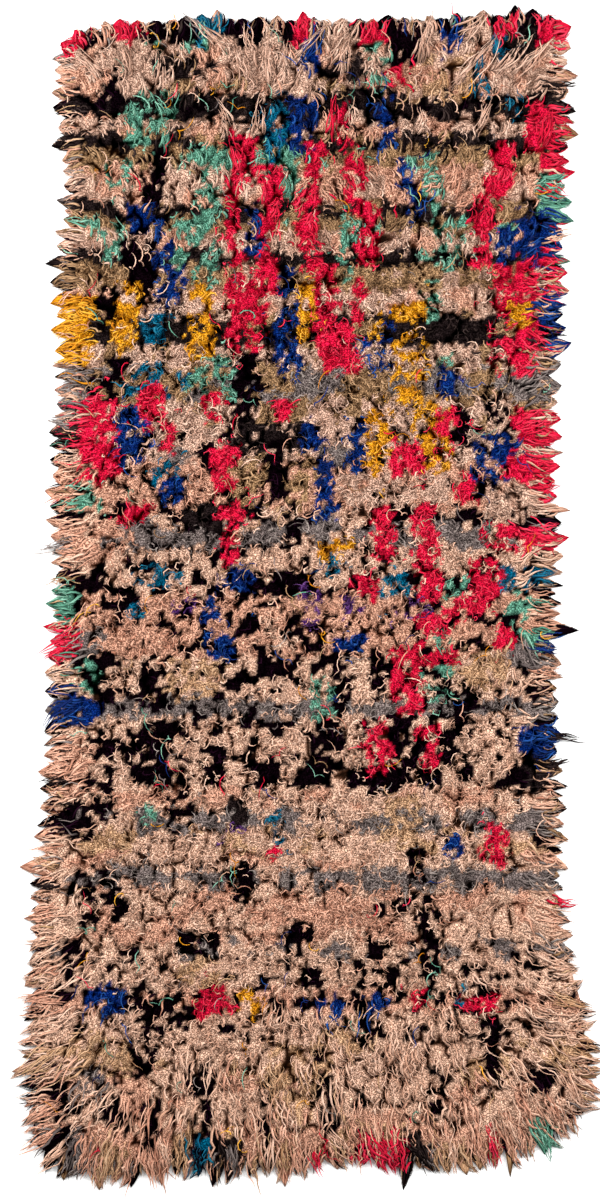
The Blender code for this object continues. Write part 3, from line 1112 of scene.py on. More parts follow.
def field_slab(name, steps, inset, height, back, faces_up):
    """A closed slab over the field. One side is a grid, and its back is flat and a single face.

    height is a function of x and y that gives the grid's height, and back is the other side's height.
    """
    bm = bmesh.new()
    bmesh.ops.create_grid(bm, x_segments=steps[0], y_segments=steps[1], size=0.5)
    rim = [edge for edge in bm.edges if edge.is_boundary]
    made = bmesh.ops.extrude_edge_only(bm, edges=rim)["geom"]
    for vert in bm.verts:
        vert.co.z = 1.0
    for vert in made:
        if isinstance(vert, bmesh.types.BMVert):
            vert.co.z = 0.0
    bmesh.ops.contextual_create(bm, geom=[edge for edge in bm.edges if edge.is_boundary])
    bmesh.ops.recalc_face_normals(bm, faces=bm.faces[:])
    if not faces_up:
        bmesh.ops.reverse_faces(bm, faces=bm.faces[:])
    mesh = bpy.data.meshes.new(name)
    bm.to_mesh(mesh)
    bm.free()
    places = np.empty(len(mesh.vertices) * 3, np.float32)
    mesh.vertices.foreach_get("co", places)
    places = places.reshape(-1, 3).astype(float)
    x, y = on_field(places[:, 0] + 0.5, places[:, 1] + 0.5, inset)
    z = np.where(places[:, 2] > 0.5, height(x, y), back)
    mesh.vertices.foreach_set("co", np.stack([x, y, z], 1).astype(np.float32).ravel())
    mesh.update()
    add_slab_uvs(mesh)
    colour_by_chart(mesh, x, y)
    mesh.shade_smooth()
    return mesh


def add_slab_uvs(mesh):
    """Seen from above, with the upper side in the atlas's left half and the rest in its right half."""
    layer = mesh.uv_layers.new(name="OFBake")
    for face in mesh.polygons:
        shift = 0.0 if face.normal.z > 0.5 else 0.5
        for loop in face.loop_indices:
            place = mesh.vertices[mesh.loops[loop].vertex_index].co
            u = 0.25 + place.x / (4 * RASTER_HALF[0]) + shift
            v = 0.5 + place.y / (2 * RASTER_HALF[1])
            layer.data[loop].uv = (u, v)


def store_colours(mesh, yarns, gaps):
    """Stores each point's yarn colour, and as its alpha how much painted shade it gets in a gap between
    tufts.
    """
    colours = np.array([linear(*WOOL_TONES[yarn][1]) for yarn in YARNS])[yarns]
    colours[:, 3] = gaps
    layer = mesh.color_attributes.new(name="yarn_colour", type="FLOAT_COLOR", domain="POINT")
    layer.data.foreach_set("color", colours.astype(np.float32).ravel())


def colour_by_chart(mesh, x, y):
    # The alpha is the painted shade of the gaps between tufts: some in closed gaps, more of it towards the
    # rug's upper end, and full in open gaps.
    upward = 1 - going_down(y, 0.60, 1.00)
    closed = blend(0.20, 0.50, upward) * eased(nearest_tuft(x, y)[3], blend(0.7, 0.5, upward), 1.0)
    store_colours(mesh, yarn_at(x, y), np.maximum(closed, open_gap(x, y)))


def ground_material():
    """Rows of knots in the pile's colours between dull wefts."""
    material, tree, shader = new_material("knotted_back", 0.92, 0.2)
    times = partial(math_node, tree, "MULTIPLY")
    place = own_place(tree)
    aside, along, _depth = parts_of(tree, place)
    row = math_node(tree, "SINE", times(along, 2 * math.pi / KNOT_ROW))
    column = math_node(tree, "SINE", times(aside, 2 * math.pi / KNOT_WIDTH))
    is_knot = math_node(tree, "GREATER_THAN", row, KNOT_SHARE)
    knots = mix_colours(tree, is_knot, linear(*WEFT), stored_yarn(tree).outputs["Color"])
    grain = noise_node(tree, place, 260.0)
    dusty = mix_colours(tree, 0.35, knots, grain.outputs["Color"], "SOFT_LIGHT")
    tree.links.new(dusty, shader.inputs["Base Color"])
    height = math_node(tree, "ADD", row, times(math_node(tree, "ABSOLUTE", column), 0.7))
    tree.links.new(bump_node(tree, height, 1.0, 0.0012), shader.inputs["Normal"])
    return material


def underside(x, y):
    return np.zeros(len(x))


ground_mesh = field_slab("woven_ground", GROUND_STEPS, GROUND_INSET, underside, GROUND_THICKNESS, False)
woven_ground = add_piece("woven_ground", ground_mesh, ground_material())
print("ground", len(ground_mesh.polygons), "faces")

# %% [markdown]
# From above, most of the pile is a dense mass of yarn ends and small loops, with brown shade in the
# crevices between them. That mass is one lumpy slab a little under the pile's tips. Its finish is a
# pattern of crumbs: cells a yarn or two wide, pulled into short curls, each with its own tone, rounded by
# a bump and with painted shade along their edges. In the gaps between tufts the shade is painted deeper,
# nearly black where a gap is open. Loose ends and locks of real tubes go over it.

# %% The matted mass of the pile
BED_SHARE = 0.80          # the slab's height, as a share of the pile's
BED_STEPS = (152, 336)
BED_ROUGHEN = 0.0030
BED_BUMP_SIZE = 0.0125
BED_LIFT = 0.0002         # between the slab's flat back and the woven ground
CRUMB_SCALE = 215.0       # crumbs in a metre
CRUMB_EDGE = 0.16         # the painted shade along a crumb's edge, as a share of its width
CRUMB_TONES = (0.68, 1.0)
CURL_SCALE = 120.0
CURL_PULL = 0.0085
bed_bump = slow_noise(41, BED_BUMP_SIZE)


def bed_top(x, y):
    worn = np.where(yarn_at(x, y) == BLACK, 1 - WORN, 1.0)
    return BED_SHARE * worn * pile_top(x, y) + BED_ROUGHEN * bed_bump(x, y) * worn


def make_crumb_group():
    """Matted wool: crumbs of yarn, from a yarn colour and the painted shade of a gap between tufts at each
    place.
    """
    group, start, end = new_group(
        "matted_wool",
        (("Yarn", "NodeSocketColor", (0.5, 0.5, 0.5, 1)), ("Gap", "NodeSocketFloat", 0.0)),
        (("Colour", "NodeSocketColor"), ("Normal", "NodeSocketVector")),
    )
    times = partial(math_node, group, "MULTIPLY")
    place = own_place(group)
    pulled = group.nodes.new("ShaderNodeVectorMath")
    pulled.operation = "MULTIPLY_ADD"
    group.links.new(noise_node(group, place, CURL_SCALE, 1.0).outputs["Color"], pulled.inputs[0])
    pulled.inputs[1].default_value = (CURL_PULL, CURL_PULL, CURL_PULL)
    group.links.new(place, pulled.inputs[2])
    edges, cells = (group.nodes.new("ShaderNodeTexVoronoi") for _ in range(2))
    edges.feature = "DISTANCE_TO_EDGE"
    for crumbs in (edges, cells):
        crumbs.inputs["Scale"].default_value = CRUMB_SCALE
        group.links.new(pulled.outputs[0], crumbs.inputs["Vector"])
    tone, size, _other = parts_of(group, cells.outputs["Color"])

    # Painted shade: each crumb darkens towards its edges, where the crevices between crumbs lie in shade, and
    # the whole mass darkens in a gap between tufts, to nearly black where the gap is open. The crumbs' own
    # tones differ at random.
    gap = start.outputs["Gap"]
    crest = mapped(group, edges.outputs["Distance"], 0.0, CRUMB_EDGE, 0.0, 1.0)
    own = mapped(group, tone, 0.0, 1.0, *CRUMB_TONES)
    light = times(times(crest, own), mapped(group, gap, 0.0, 0.8, 1.0, 0.0))
    lifted = mix_colours(group, 0.25, start.outputs["Yarn"], (1.0, 1.0, 1.0, 1.0), "SOFT_LIGHT")
    wool = shaded_wool(group, lifted, light)
    painted_gap_shade = mapped(group, gap, 0.5, 1.0, 0.0, 0.9)
    group.links.new(mix_colours(group, painted_gap_shade, wool, (0.0, 0.0, 0.0, 1.0)), end.inputs["Colour"])
    height = times(crest, mapped(group, size, 0.0, 1.0, 0.4, 1.0))
    group.links.new(bump_node(group, height, 1.0, 0.0022), end.inputs["Normal"])
    return group


crumb_group = make_crumb_group()


def matted_material():
    material, tree, shader = new_material("matted_wool", 0.95, 0.0)
    yarn = stored_yarn(tree)
    matted = tree.nodes.new("ShaderNodeGroup")
    matted.node_tree = crumb_group
    tree.links.new(yarn.outputs["Color"], matted.inputs["Yarn"])
    tree.links.new(yarn.outputs["Alpha"], matted.inputs["Gap"])
    tree.links.new(matted.outputs["Colour"], shader.inputs["Base Color"])
    tree.links.new(matted.outputs["Normal"], shader.inputs["Normal"])
    return material


bed_mesh = field_slab("matted_pile", BED_STEPS, GROUND_INSET, bed_top, GROUND_THICKNESS + BED_LIFT, True)
matted_pile = add_piece("matted_pile", bed_mesh, matted_material())
print("bed", len(bed_mesh.polygons), "faces")

# %% [markdown]
# The locks round the rim. Each is a flat pointed bundle: a body, matted at its root and combed to its
# tip, with yarns over it. The bodies follow the solid's own locks, from a little inside the rim through
# the root and the middle to the tip.

# %% Bodies of the rim's locks
BODY_STEPS = 8
BODY_SIDES = 8
BODY_INSIDE = 0.016
BODY_TONES = 4
BODY_CLEAR = 0.0006       # of the floor
ROOT_FLARE = 1.45         # the body's width at its root, as a share of the solid's
MIDDLE_WIDTH = 0.85
PLAIN_SHARE = 0.40        # of the rim's yarns are in wool's own colours, whatever the chart says
PLAIN_YARNS = ("camel", "peach", "cream", "charcoal", "peach", "straw", "black", "grey", "black")
BRIGHT_SHARE = 0.25       # bright and black yarns are changed for plain ones only a quarter as often
BODY_HEIGHTS = (0.0150, 0.0045)    # at the root and near the tip
SEEN_OUT = 0.004          # a rim lock takes its colour from this far outside its root
CLUMP = 3                 # the yarns of this many locks draw together to one point
CLUMP_PULLS = (0.20, 0.65)    # how far, in the upper end and in the lower end
CLUMP_REACH = 0.012
CLUMP_LEAN = 0.060
rim_rng = np.random.default_rng(17)
lock_start, lock_end, lock_middle, lock_tip = (
    np.array([row[i][:] for row in locks]) for i in range(4)
)
lock_root = (lock_start + lock_end) / 2
lock_width = np.linalg.norm(lock_end - lock_start, axis=1)
lock_along = (lock_end - lock_start) / lock_width[:, None]
lock_out = np.stack([-lock_along[:, 1], lock_along[:, 0]], 1)
clump_of = np.repeat(np.arange(LOCK_COUNT), CLUMP)[:LOCK_COUNT]
clump_tips = np.array([lock_tip[clump_of == number].mean(0) for number in clump_of])
low_down = going_down(lock_root[:, 1], 1.60, 2.00)
clump_tips[:, 0] += CLUMP_LEAN * low_down * (lock_root[:, 0] + FAN_LEFT)
clump_tips += CLUMP_REACH * low_down[:, None] * lock_out
yarn_tip = blend(lock_tip, clump_tips, blend(*CLUMP_PULLS, low_down)[:, None])


def lock_line(inner, root, middle, tip, steps):
    """A smooth line through a lock, from inside the rim to its tip. All are arrays of points."""
    t = np.linspace(0, 1, steps)[None, :, None]
    inner, root, middle, tip = (point[:, None] for point in (inner, root, middle, tip))
    return (1 - t) ** 3 * inner + 3 * (1 - t) ** 2 * t * root + 3 * (1 - t) * t * t * middle + t ** 3 * tip


def partly_plain(yarn, share):
    """These yarns, with this share of them changed for plain ones. Bright and black yarns stay mostly."""
    plain = np.array(numbers_of(PLAIN_YARNS))
    picked = plain[rim_rng.integers(0, len(plain), len(yarn))]
    is_plain = np.isin(yarn, numbers_of(("ivory", *PLAIN_YARNS))) & (yarn != BLACK)
    return np.where(rim_rng.random(len(yarn)) < share * np.where(is_plain, 1.0, BRIGHT_SHARE), picked, yarn)


def make_lock_bodies():
    inner = lock_root - lock_out * BODY_INSIDE
    flat = lock_line(inner, lock_root, lock_middle, lock_tip, BODY_STEPS)
    t = np.linspace(0, 1, BODY_STEPS)[None]
    narrowing = np.interp(t, (0.0, 0.3, 0.65, 1.0), (1.0, ROOT_FLARE, MIDDLE_WIDTH, 0.10))
    widths = lock_width[:, None] / 2 * narrowing
    heights = np.tile(blend(*BODY_HEIGHTS, eased(t, -0.05, 1.0)) / 2, (len(flat), 1))
    heights = heights * rim_rng.uniform(0.8, 1.15, (len(flat), 1))
    paths = np.concatenate([flat, (heights + BODY_CLEAR)[..., None]], axis=2)
    tones = rim_rng.integers(0, BODY_TONES, len(flat))
    mesh = tube_mesh("lock_bodies", [(paths, widths, heights, BODY_SIDES, tones)])
    seen = lock_root + lock_out * SEEN_OUT
    each = (BODY_STEPS - 1) * BODY_SIDES + 1
    yarn = partly_plain(yarn_at(seen[:, 0], seen[:, 1]), PLAIN_SHARE)
    store_colours(mesh, np.repeat(yarn, each), 0.0)
    return mesh


def combed_material():
    """Parallel yarns, combed along each lock, with painted shade in the grooves between them."""
    material, tree, shader = new_material("combed_wool", 0.92, 0.0)
    mapping = tree.nodes.new("ShaderNodeMapping")
    mapping.inputs["Scale"].default_value = (TONES * 16.0, 2.2, 1.0)
    tree.links.new(own_uv(tree), mapping.inputs["Vector"])
    streaks = noise_node(tree, mapping.outputs[0], 1.0, 3.0, 0.4)
    # The streaks' low parts, between the yarns, are both bumped down and painted in shade.
    crest = mapped(tree, streaks.outputs["Fac"], 0.40, 0.64, 0.0, 1.0)
    wool = shaded_wool(tree, stored_yarn(tree).outputs["Color"], crest)
    tree.links.new(wool, shader.inputs["Base Color"])
    tree.links.new(bump_node(tree, crest, 1.0, 0.0015), shader.inputs["Normal"])
    return material


lock_bodies = add_piece("lock_bodies", make_lock_bodies(), combed_material())
print("lock bodies", len(lock_bodies.data.polygons), "faces")

# %% [markdown]
# Where each loose yarn grows and where it ends. In the matted field a yarn curls out over the side of its
# tuft. In the combed parts the yarns of a tuft run along the lie and draw together to a point. Close to
# the rim they run into the nearest lock. The chart is read part of the way along, where a yarn is seen.

# %% Plan the yarns
YARN_PITCH = 0.0092
ROW_PITCH = YARN_PITCH * math.sqrt(3) / 2
YARN_SHIFT = 0.0035
RIM_MARGIN = 0.003
LOCK_REACH = 0.040        # yarns this near to the rim lie in its locks
MATTED_REACH = (0.004, 0.013)
LONG_CURL = 0.016         # how much further the longest matted yarns reach
MATTED_TURN = 0.7         # radians that a matted yarn turns away from its tuft's own side
TUFT_LENGTHS = (0.022, 0.062)    # of yarns that lie matted and combed
UPPER_SHORTER = 0.50      # yarns that lie upwards are this much of the length
LOWER_LONGER = 1.45
BUNDLE_SHARES = (0.20, 0.55)
PALE_TOP = 0.80           # the tone of the yarns in the middle of a tuft, where 1 is the palest
TUFT_SIDE_SHADE = 0.35          # painted shade: how much deeper in tone they are at the tuft's edge, where its side is in shade
TUFT_TONE = 0.24
YARN_TONE = 0.25
DYE_LOT_SIZE = 0.060
dye_lot = slow_noise(35, DYE_LOT_SIZE)
MATTED_CURL, COMBED_CURLS = 0.0048, (0.0030, 0.0040)    # combed ones in the upper and the lower end
MATTED_TURNS, COMBED_TURNS = 1.05, (1.20, 1.70)
SEEN_FROM = (0.05, 0.45)  # the chart is read this far along a yarn or further, in the lower and upper end
SEEN_OVER = (0.70, 0.35)  # but not further than this from there
SEEN_IN_LOCK = 0.15
COMBED_SHARE = 0.72       # of the combed yarns, as many as are needed, as they are long
STRAY_SHARE = 0.12        # yarns whose colour comes from a little further off
STRAY_REACH = 0.016
DARK_BETWEEN = 0.30       # black yarns between the pale ones near the rim of the lower end
DARK_SHARE = 0.52         # of the dark yarns, as many as show
FULLY_COMBED = 0.55
GATHER = 0.7              # how far the yarns of a combed tuft draw together
pile_rng = np.random.default_rng(7)


def grown_places():
    xs = np.arange(-RASTER_HALF[0], RASTER_HALF[0], YARN_PITCH)
    ys = np.arange(-RASTER_HALF[1], RASTER_HALF[1], ROW_PITCH)
    x, y = np.meshgrid(xs, ys)
    x = x + (np.arange(len(ys)) % 2)[:, None] * YARN_PITCH / 2
    x, y = x.ravel(), y.ravel()
    x = x + pile_rng.uniform(-YARN_SHIFT, YARN_SHIFT, len(x))
    y = y + pile_rng.uniform(-YARN_SHIFT, YARN_SHIFT, len(y))
    keep = rim_distance(x, y) > RIM_MARGIN
    return x[keep], y[keep]


def nearest_lock(x, y):
    gaps = np.hypot(x[:, None] - lock_root[None, :, 0], y[:, None] - lock_root[None, :, 1])
    return gaps.argmin(1)


def strips(rng, bundle_share, level):
    """The atlas's strips for yarns of these tones, from 0 for deep to 1 for pale, this share in bundles."""
    level = np.clip(level, 0, 0.999)
    single = (level * FIRST_BUNDLE).astype(int)
    bundle = FIRST_BUNDLE + (level * (TONES - FIRST_BUNDLE)).astype(int)
    return np.where(rng.random(len(level)) < bundle_share, bundle, single)


def plan_yarns():
    """A dictionary of arrays, one value for each yarn."""
    x, y = grown_places()
    count = len(x)
    flow_x, flow_y, combed = lie_of(x, y)
    off_x, off_y, _away, gap = nearest_tuft(x, y)
    combing = eased(combed, 0.15, 0.75)

    turn = np.arctan2(off_y, off_x) + pile_rng.normal(0, MATTED_TURN, count)
    reach = pile_rng.uniform(*MATTED_REACH, count) + LONG_CURL * pile_rng.random(count) ** 4
    matted_x, matted_y = x + np.cos(turn) * reach, y + np.sin(turn) * reach
    stretch = pile_rng.uniform(0.5, 1.15, count)
    lower, upward = lower_end(y), upper_end(y)
    run = blend(*TUFT_LENGTHS, combed) * stretch
    run = run * blend(1.0, UPPER_SHORTER, upward) * blend(1.0, LOWER_LONGER, lower)
    side = pile_rng.normal(0, 0.010, count) * (1.5 - stretch) * (1 + lower)
    combed_x = x - off_x * GATHER + flow_x * run - flow_y * side
    combed_y = y - off_y * GATHER + flow_y * run + flow_x * side
    end_x = blend(matted_x, combed_x, combing)
    end_y = blend(matted_y, combed_y, combing)

    own = nearest_lock(x, y)
    share = pile_rng.uniform(-0.4, 0.9, count)[:, None]
    on_line = np.where(share > 0, blend(lock_middle[own], yarn_tip[own], share),
                       blend(lock_middle[own], lock_root[own], -share))
    spare = (1 - np.maximum(share, 0)) * lock_width[own][:, None] * 0.55
    on_line = on_line + lock_along[own] * spare * pile_rng.uniform(-1, 1, count)[:, None]
    in_lock = rim_distance(x, y) < LOCK_REACH
    end_x, end_y = np.where(in_lock, on_line[:, 0], end_x), np.where(in_lock, on_line[:, 1], end_y)
    way = np.where(in_lock, np.arctan2(lock_out[own, 1], lock_out[own, 0]), np.arctan2(flow_y, flow_x))

    seen = blend(*SEEN_FROM, upward) + pile_rng.uniform(0, 1, count) * blend(*SEEN_OVER, upward)
    seen = np.where(in_lock, SEEN_IN_LOCK, seen)
    seen_x, seen_y = blend(x, end_x, seen), blend(y, end_y, seen)
    is_stray = pile_rng.random(count) < STRAY_SHARE
    seen_x = seen_x + is_stray * pile_rng.normal(0, STRAY_REACH, count)
    seen_y = seen_y + is_stray * pile_rng.normal(0, STRAY_REACH, count)
    yarn = yarn_at(seen_x, seen_y)
    yarn = np.where(in_lock, partly_plain(yarn, PLAIN_SHARE * 0.7), yarn)
    is_between = pile_rng.random(count) < DARK_BETWEEN * lower * eased(-rim_distance(x, y), -0.16, -0.04)
    yarn = np.where(is_between, BLACK, yarn)
    combing = np.where(in_lock, 1.0, combing)
    bundled = blend(*BUNDLE_SHARES, combing) * (1 - 0.3 * lower * ~in_lock)
    # Painted shade: yarns towards a tuft's edge take deeper tones, as its sides lie in shade. The dye lot and
    # each yarn's own chance make the tone differ at random.
    level = PALE_TOP - TUFT_SIDE_SHADE * eased(gap, 0.35, 1.0) + TUFT_TONE * dye_lot(x, y)
    level = level + pile_rng.normal(0, YARN_TONE, count)
    curl = blend(MATTED_CURL, blend(*COMBED_CURLS, lower), combing)
    turns = blend(MATTED_TURNS, blend(*COMBED_TURNS, lower), combing)
    plan = {
        "x": x, "y": y, "end_x": end_x, "end_y": end_y,
        "way": way, "combing": combing,
        "curl": curl * pile_rng.uniform(0.4, 1.6, count),
        "turns": turns * pile_rng.uniform(0.5, 1.5, count),
        "phase": pile_rng.uniform(0, 2 * math.pi, count),
        "lift": pile_rng.uniform(0.80, 1.10, count) * np.where(yarn == BLACK, 1 - WORN, 1.0),
        "yarn": yarn,
        "tone": strips(pile_rng, bundled, level),
    }
    keep = ~is_dark(yarn) | (pile_rng.random(count) < DARK_SHARE)
    keep &= in_lock | (pile_rng.random(count) > 0.85 * open_gap(x, y))
    keep &= in_lock | (pile_rng.random(count) < blend(1.0, COMBED_SHARE, combing))
    return chosen(plan, keep)


def chosen(table, mask):
    return {key: value[mask] for key, value in table.items()}


yarns = plan_yarns()
print(len(yarns["x"]), "yarns in the field")

# %% [markdown]
# A yarn's line starts along the lie of the pile and bends to its end, rises and turns over, and winds
# round that line in a loose curl. Yarns lie on the floor and never in it.

# %% Lines of the yarns
MATTED_STEPS = 6
COMBED_STEPS = 9
DARK_STEPS = 5
THICKNESS = {"charcoal": 0.0036, "black": 0.0034}
USUAL_THICKNESS = 0.0027
COMBED_THINNER = 0.92
LOOSE_THINNER = 0.85
BUNDLE_WIDTH = 0.0060
BUNDLE_HEIGHT = 0.0030
BUNDLE_TIP = 0.20
FLATNESS = 0.8            # yarns are pressed a little flat
ROOT_SHARE = 0.45         # of the pile's height, where a yarn starts
TURN_OVER = 0.40          # the share of a yarn that rises
CLEAR_OF_FLOOR = 0.0004
FUZZ = 0.006              # how far yarns stand over the solid's top
TIP_SHARE = 0.45


def yarn_lines(plan, steps):
    """The centre lines of these yarns, as an array of yarn, step and x, y, z."""
    t = np.linspace(0, 1, steps)[None]
    column = {key: value[:, None] for key, value in plan.items()}
    span = np.hypot(column["end_x"] - column["x"], column["end_y"] - column["y"])
    knee_x = column["x"] + np.cos(column["way"]) * span * 0.5 * column["combing"]
    knee_y = column["y"] + np.sin(column["way"]) * span * 0.5 * column["combing"]
    x = (1 - t) ** 2 * column["x"] + 2 * t * (1 - t) * knee_x + t * t * column["end_x"]
    y = (1 - t) ** 2 * column["y"] + 2 * t * (1 - t) * knee_y + t * t * column["end_y"]
    wind = 2 * math.pi * column["turns"] * t + column["phase"]
    swing = column["curl"] * np.sin(np.clip(t * 1.6, 0, 1) * math.pi / 2)
    swing = swing * blend(1.0, 1 - 0.7 * t * t, column["combing"])
    x, y = x + swing * np.cos(wind), y + swing * np.sin(wind)
    rise = blend(ROOT_SHARE, 1.0, np.sin(np.clip(t / TURN_OVER, 0, 1) * math.pi / 2))
    z = pile_top(x, y) * rise * column["lift"] + 0.5 * swing * np.cos(wind * 1.3 + 1.1)
    return np.stack([x, y, z], axis=2)


def yarn_radii(thickness, count, steps):
    """Full along the yarn, and thinner just before its tip."""
    t = np.linspace(0, 1, steps)
    profile = blend(1.0, TIP_SHARE, eased(t, 0.7, 1.0))
    return np.tile(thickness / 2 * profile, (count, 1)) * pile_rng.uniform(0.8, 1.2, (count, 1))


def yarn_batch(lines, thickness, tones):
    """What tube_mesh needs to make tubes round these lines. Bundles are wide and flat."""
    radii = yarn_radii(thickness, len(lines), lines.shape[1])
    is_bundle = (tones >= FIRST_BUNDLE)[:, None]
    narrowing = blend(1.0, BUNDLE_TIP, eased(np.linspace(0, 1, lines.shape[1]), 0.35, 1.0))[None]
    size = radii[:, :1] / (thickness / 2)
    widths = np.where(is_bundle, BUNDLE_WIDTH / 2 * size * narrowing, radii)
    heights = np.where(is_bundle, BUNDLE_HEIGHT / 2 * size * narrowing, radii * FLATNESS)
    lines[..., 2] = np.clip(lines[..., 2], heights + CLEAR_OF_FLOOR, CAD_TOP + FUZZ)
    return lines, widths, heights, SIDES, tones


# %% [markdown]
# Yarns over the rim's locks. A lock is the ends of one row of tufts, combed out past the rim, and its
# yarns cling together. They start side by side inside the rim, lie over the lock's body, and draw
# together to its tip. Some stop short of it, most of all at the lock's edges.

# %% Yarns of the rim's locks
LOCK_STEPS = 7
LOCK_INSIDE = 0.022
LOCK_YARN_PITCH = 0.0023
LOCK_THICKNESS = 0.0024
LEAST_IN_LOCK = 5
YARN_HEIGHTS = (0.0018, 0.0048)    # near the tip
LOCK_WAVE = 0.0016


def plan_lock_yarns():
    """(lines, yarn, tone) of the yarns that lie over the bodies of the rim's locks."""
    counts = np.maximum(LEAST_IN_LOCK, (lock_width / LOCK_YARN_PITCH).astype(int))
    own = np.repeat(np.arange(len(locks)), counts)
    total = len(own)
    order = np.concatenate([np.linspace(-0.5, 0.5, count) for count in counts])
    place = order + rim_rng.uniform(-0.05, 0.05, total)
    aside = place[:, None] * lock_width[own][:, None] * lock_along[own]
    inner = lock_root[own] + aside * 1.3 - lock_out[own] * LOCK_INSIDE * rim_rng.uniform(0.5, 1.3, (total, 1))
    stop = 1.0 - np.abs(order)[:, None] * rim_rng.uniform(0.4, 2.2, (total, 1))
    tip = blend(lock_middle[own], yarn_tip[own], stop) + aside * blend(0.90, 0.10, stop)
    flat = lock_line(inner, lock_root[own] + aside * 1.4, lock_middle[own] + aside * 1.0, tip, LOCK_STEPS)
    t = np.linspace(0, 1, LOCK_STEPS)[None]
    high = BODY_HEIGHTS[0] * rim_rng.uniform(0.55, 1.25, (total, 1))
    low = rim_rng.uniform(*YARN_HEIGHTS, (total, 1))
    wave = LOCK_WAVE * np.sin(7.0 * t + rim_rng.uniform(0, 2 * math.pi, (total, 1)))
    z = blend(high, low, eased(t, -0.1, 1.0))
    lines = np.stack([flat[..., 0] + wave, flat[..., 1] + wave, z], axis=2)
    seen = lock_root[own] + lock_out[own] * SEEN_OUT + aside * 0.8
    tone = rim_rng.integers(0, TONES, len(locks))[own] + rim_rng.integers(0, 6, total)
    return lines, partly_plain(yarn_at(seen[:, 0], seen[:, 1]), PLAIN_SHARE), tone % TONES


rim_lines, rim_yarn, rim_tone = plan_lock_yarns()
print(len(rim_lines), "yarns over the rim's locks")

# %% [markdown]
# A few hundred yarns have come loose. They lie in long squiggles over the rest, most of all over the short
# black yarns, and because they are on top, they are the first thing the eye finds. Most are pale.

# %% Loose squiggles
LOOSE_COUNT = 600
LOOSE_OVER_DARK = 4.0     # how much oftener they lie over dark yarns
LOOSE_STEPS = 12
LOOSE_LENGTHS = (0.025, 0.055)
LOOSE_TURN = 0.6          # radians that they turn away from the lie of the pile
LOOSE_OTHER = 0.35        # the share that isn't of the yarn nearby, where that is pale or bright
LOOSE_OFTEN = ("cream", "cream", "cream", "peach", "mint", "camel", "red", "blue", "ochre", "grey")


def plan_loose():
    inside_x, inside_y = grown_places()
    weight = np.where(is_dark(yarn_at(inside_x, inside_y)), LOOSE_OVER_DARK, 1.0)
    picked = pile_rng.choice(len(inside_x), LOOSE_COUNT, replace=False, p=weight / weight.sum())
    x, y = inside_x[picked], inside_y[picked]
    flow_x, flow_y, _combed = lie_of(x, y)
    way = np.arctan2(flow_y, flow_x) + pile_rng.normal(0, LOOSE_TURN, LOOSE_COUNT)
    reach = pile_rng.uniform(*LOOSE_LENGTHS, LOOSE_COUNT)
    nearby = yarn_at(x + pile_rng.normal(0, 0.02, LOOSE_COUNT), y + pile_rng.normal(0, 0.02, LOOSE_COUNT))
    often = np.array(numbers_of(LOOSE_OFTEN))[pile_rng.integers(0, len(LOOSE_OFTEN), LOOSE_COUNT)]
    return {
        "x": x, "y": y, "end_x": x + np.cos(way) * reach, "end_y": y + np.sin(way) * reach,
        "way": way,
        "combing": np.full(LOOSE_COUNT, 0.3),
        "curl": pile_rng.uniform(0.003, 0.009, LOOSE_COUNT),
        "turns": pile_rng.uniform(1.0, 1.9, LOOSE_COUNT),
        "phase": pile_rng.uniform(0, 2 * math.pi, LOOSE_COUNT),
        "lift": pile_rng.uniform(1.02, 1.14, LOOSE_COUNT),
        "yarn": np.where(is_dark(nearby) | (pile_rng.random(LOOSE_COUNT) < LOOSE_OTHER), often, nearby),
        "tone": pile_rng.integers(0, FIRST_BUNDLE, LOOSE_COUNT),
    }


loose = plan_loose()
print(LOOSE_COUNT, "loose yarns")
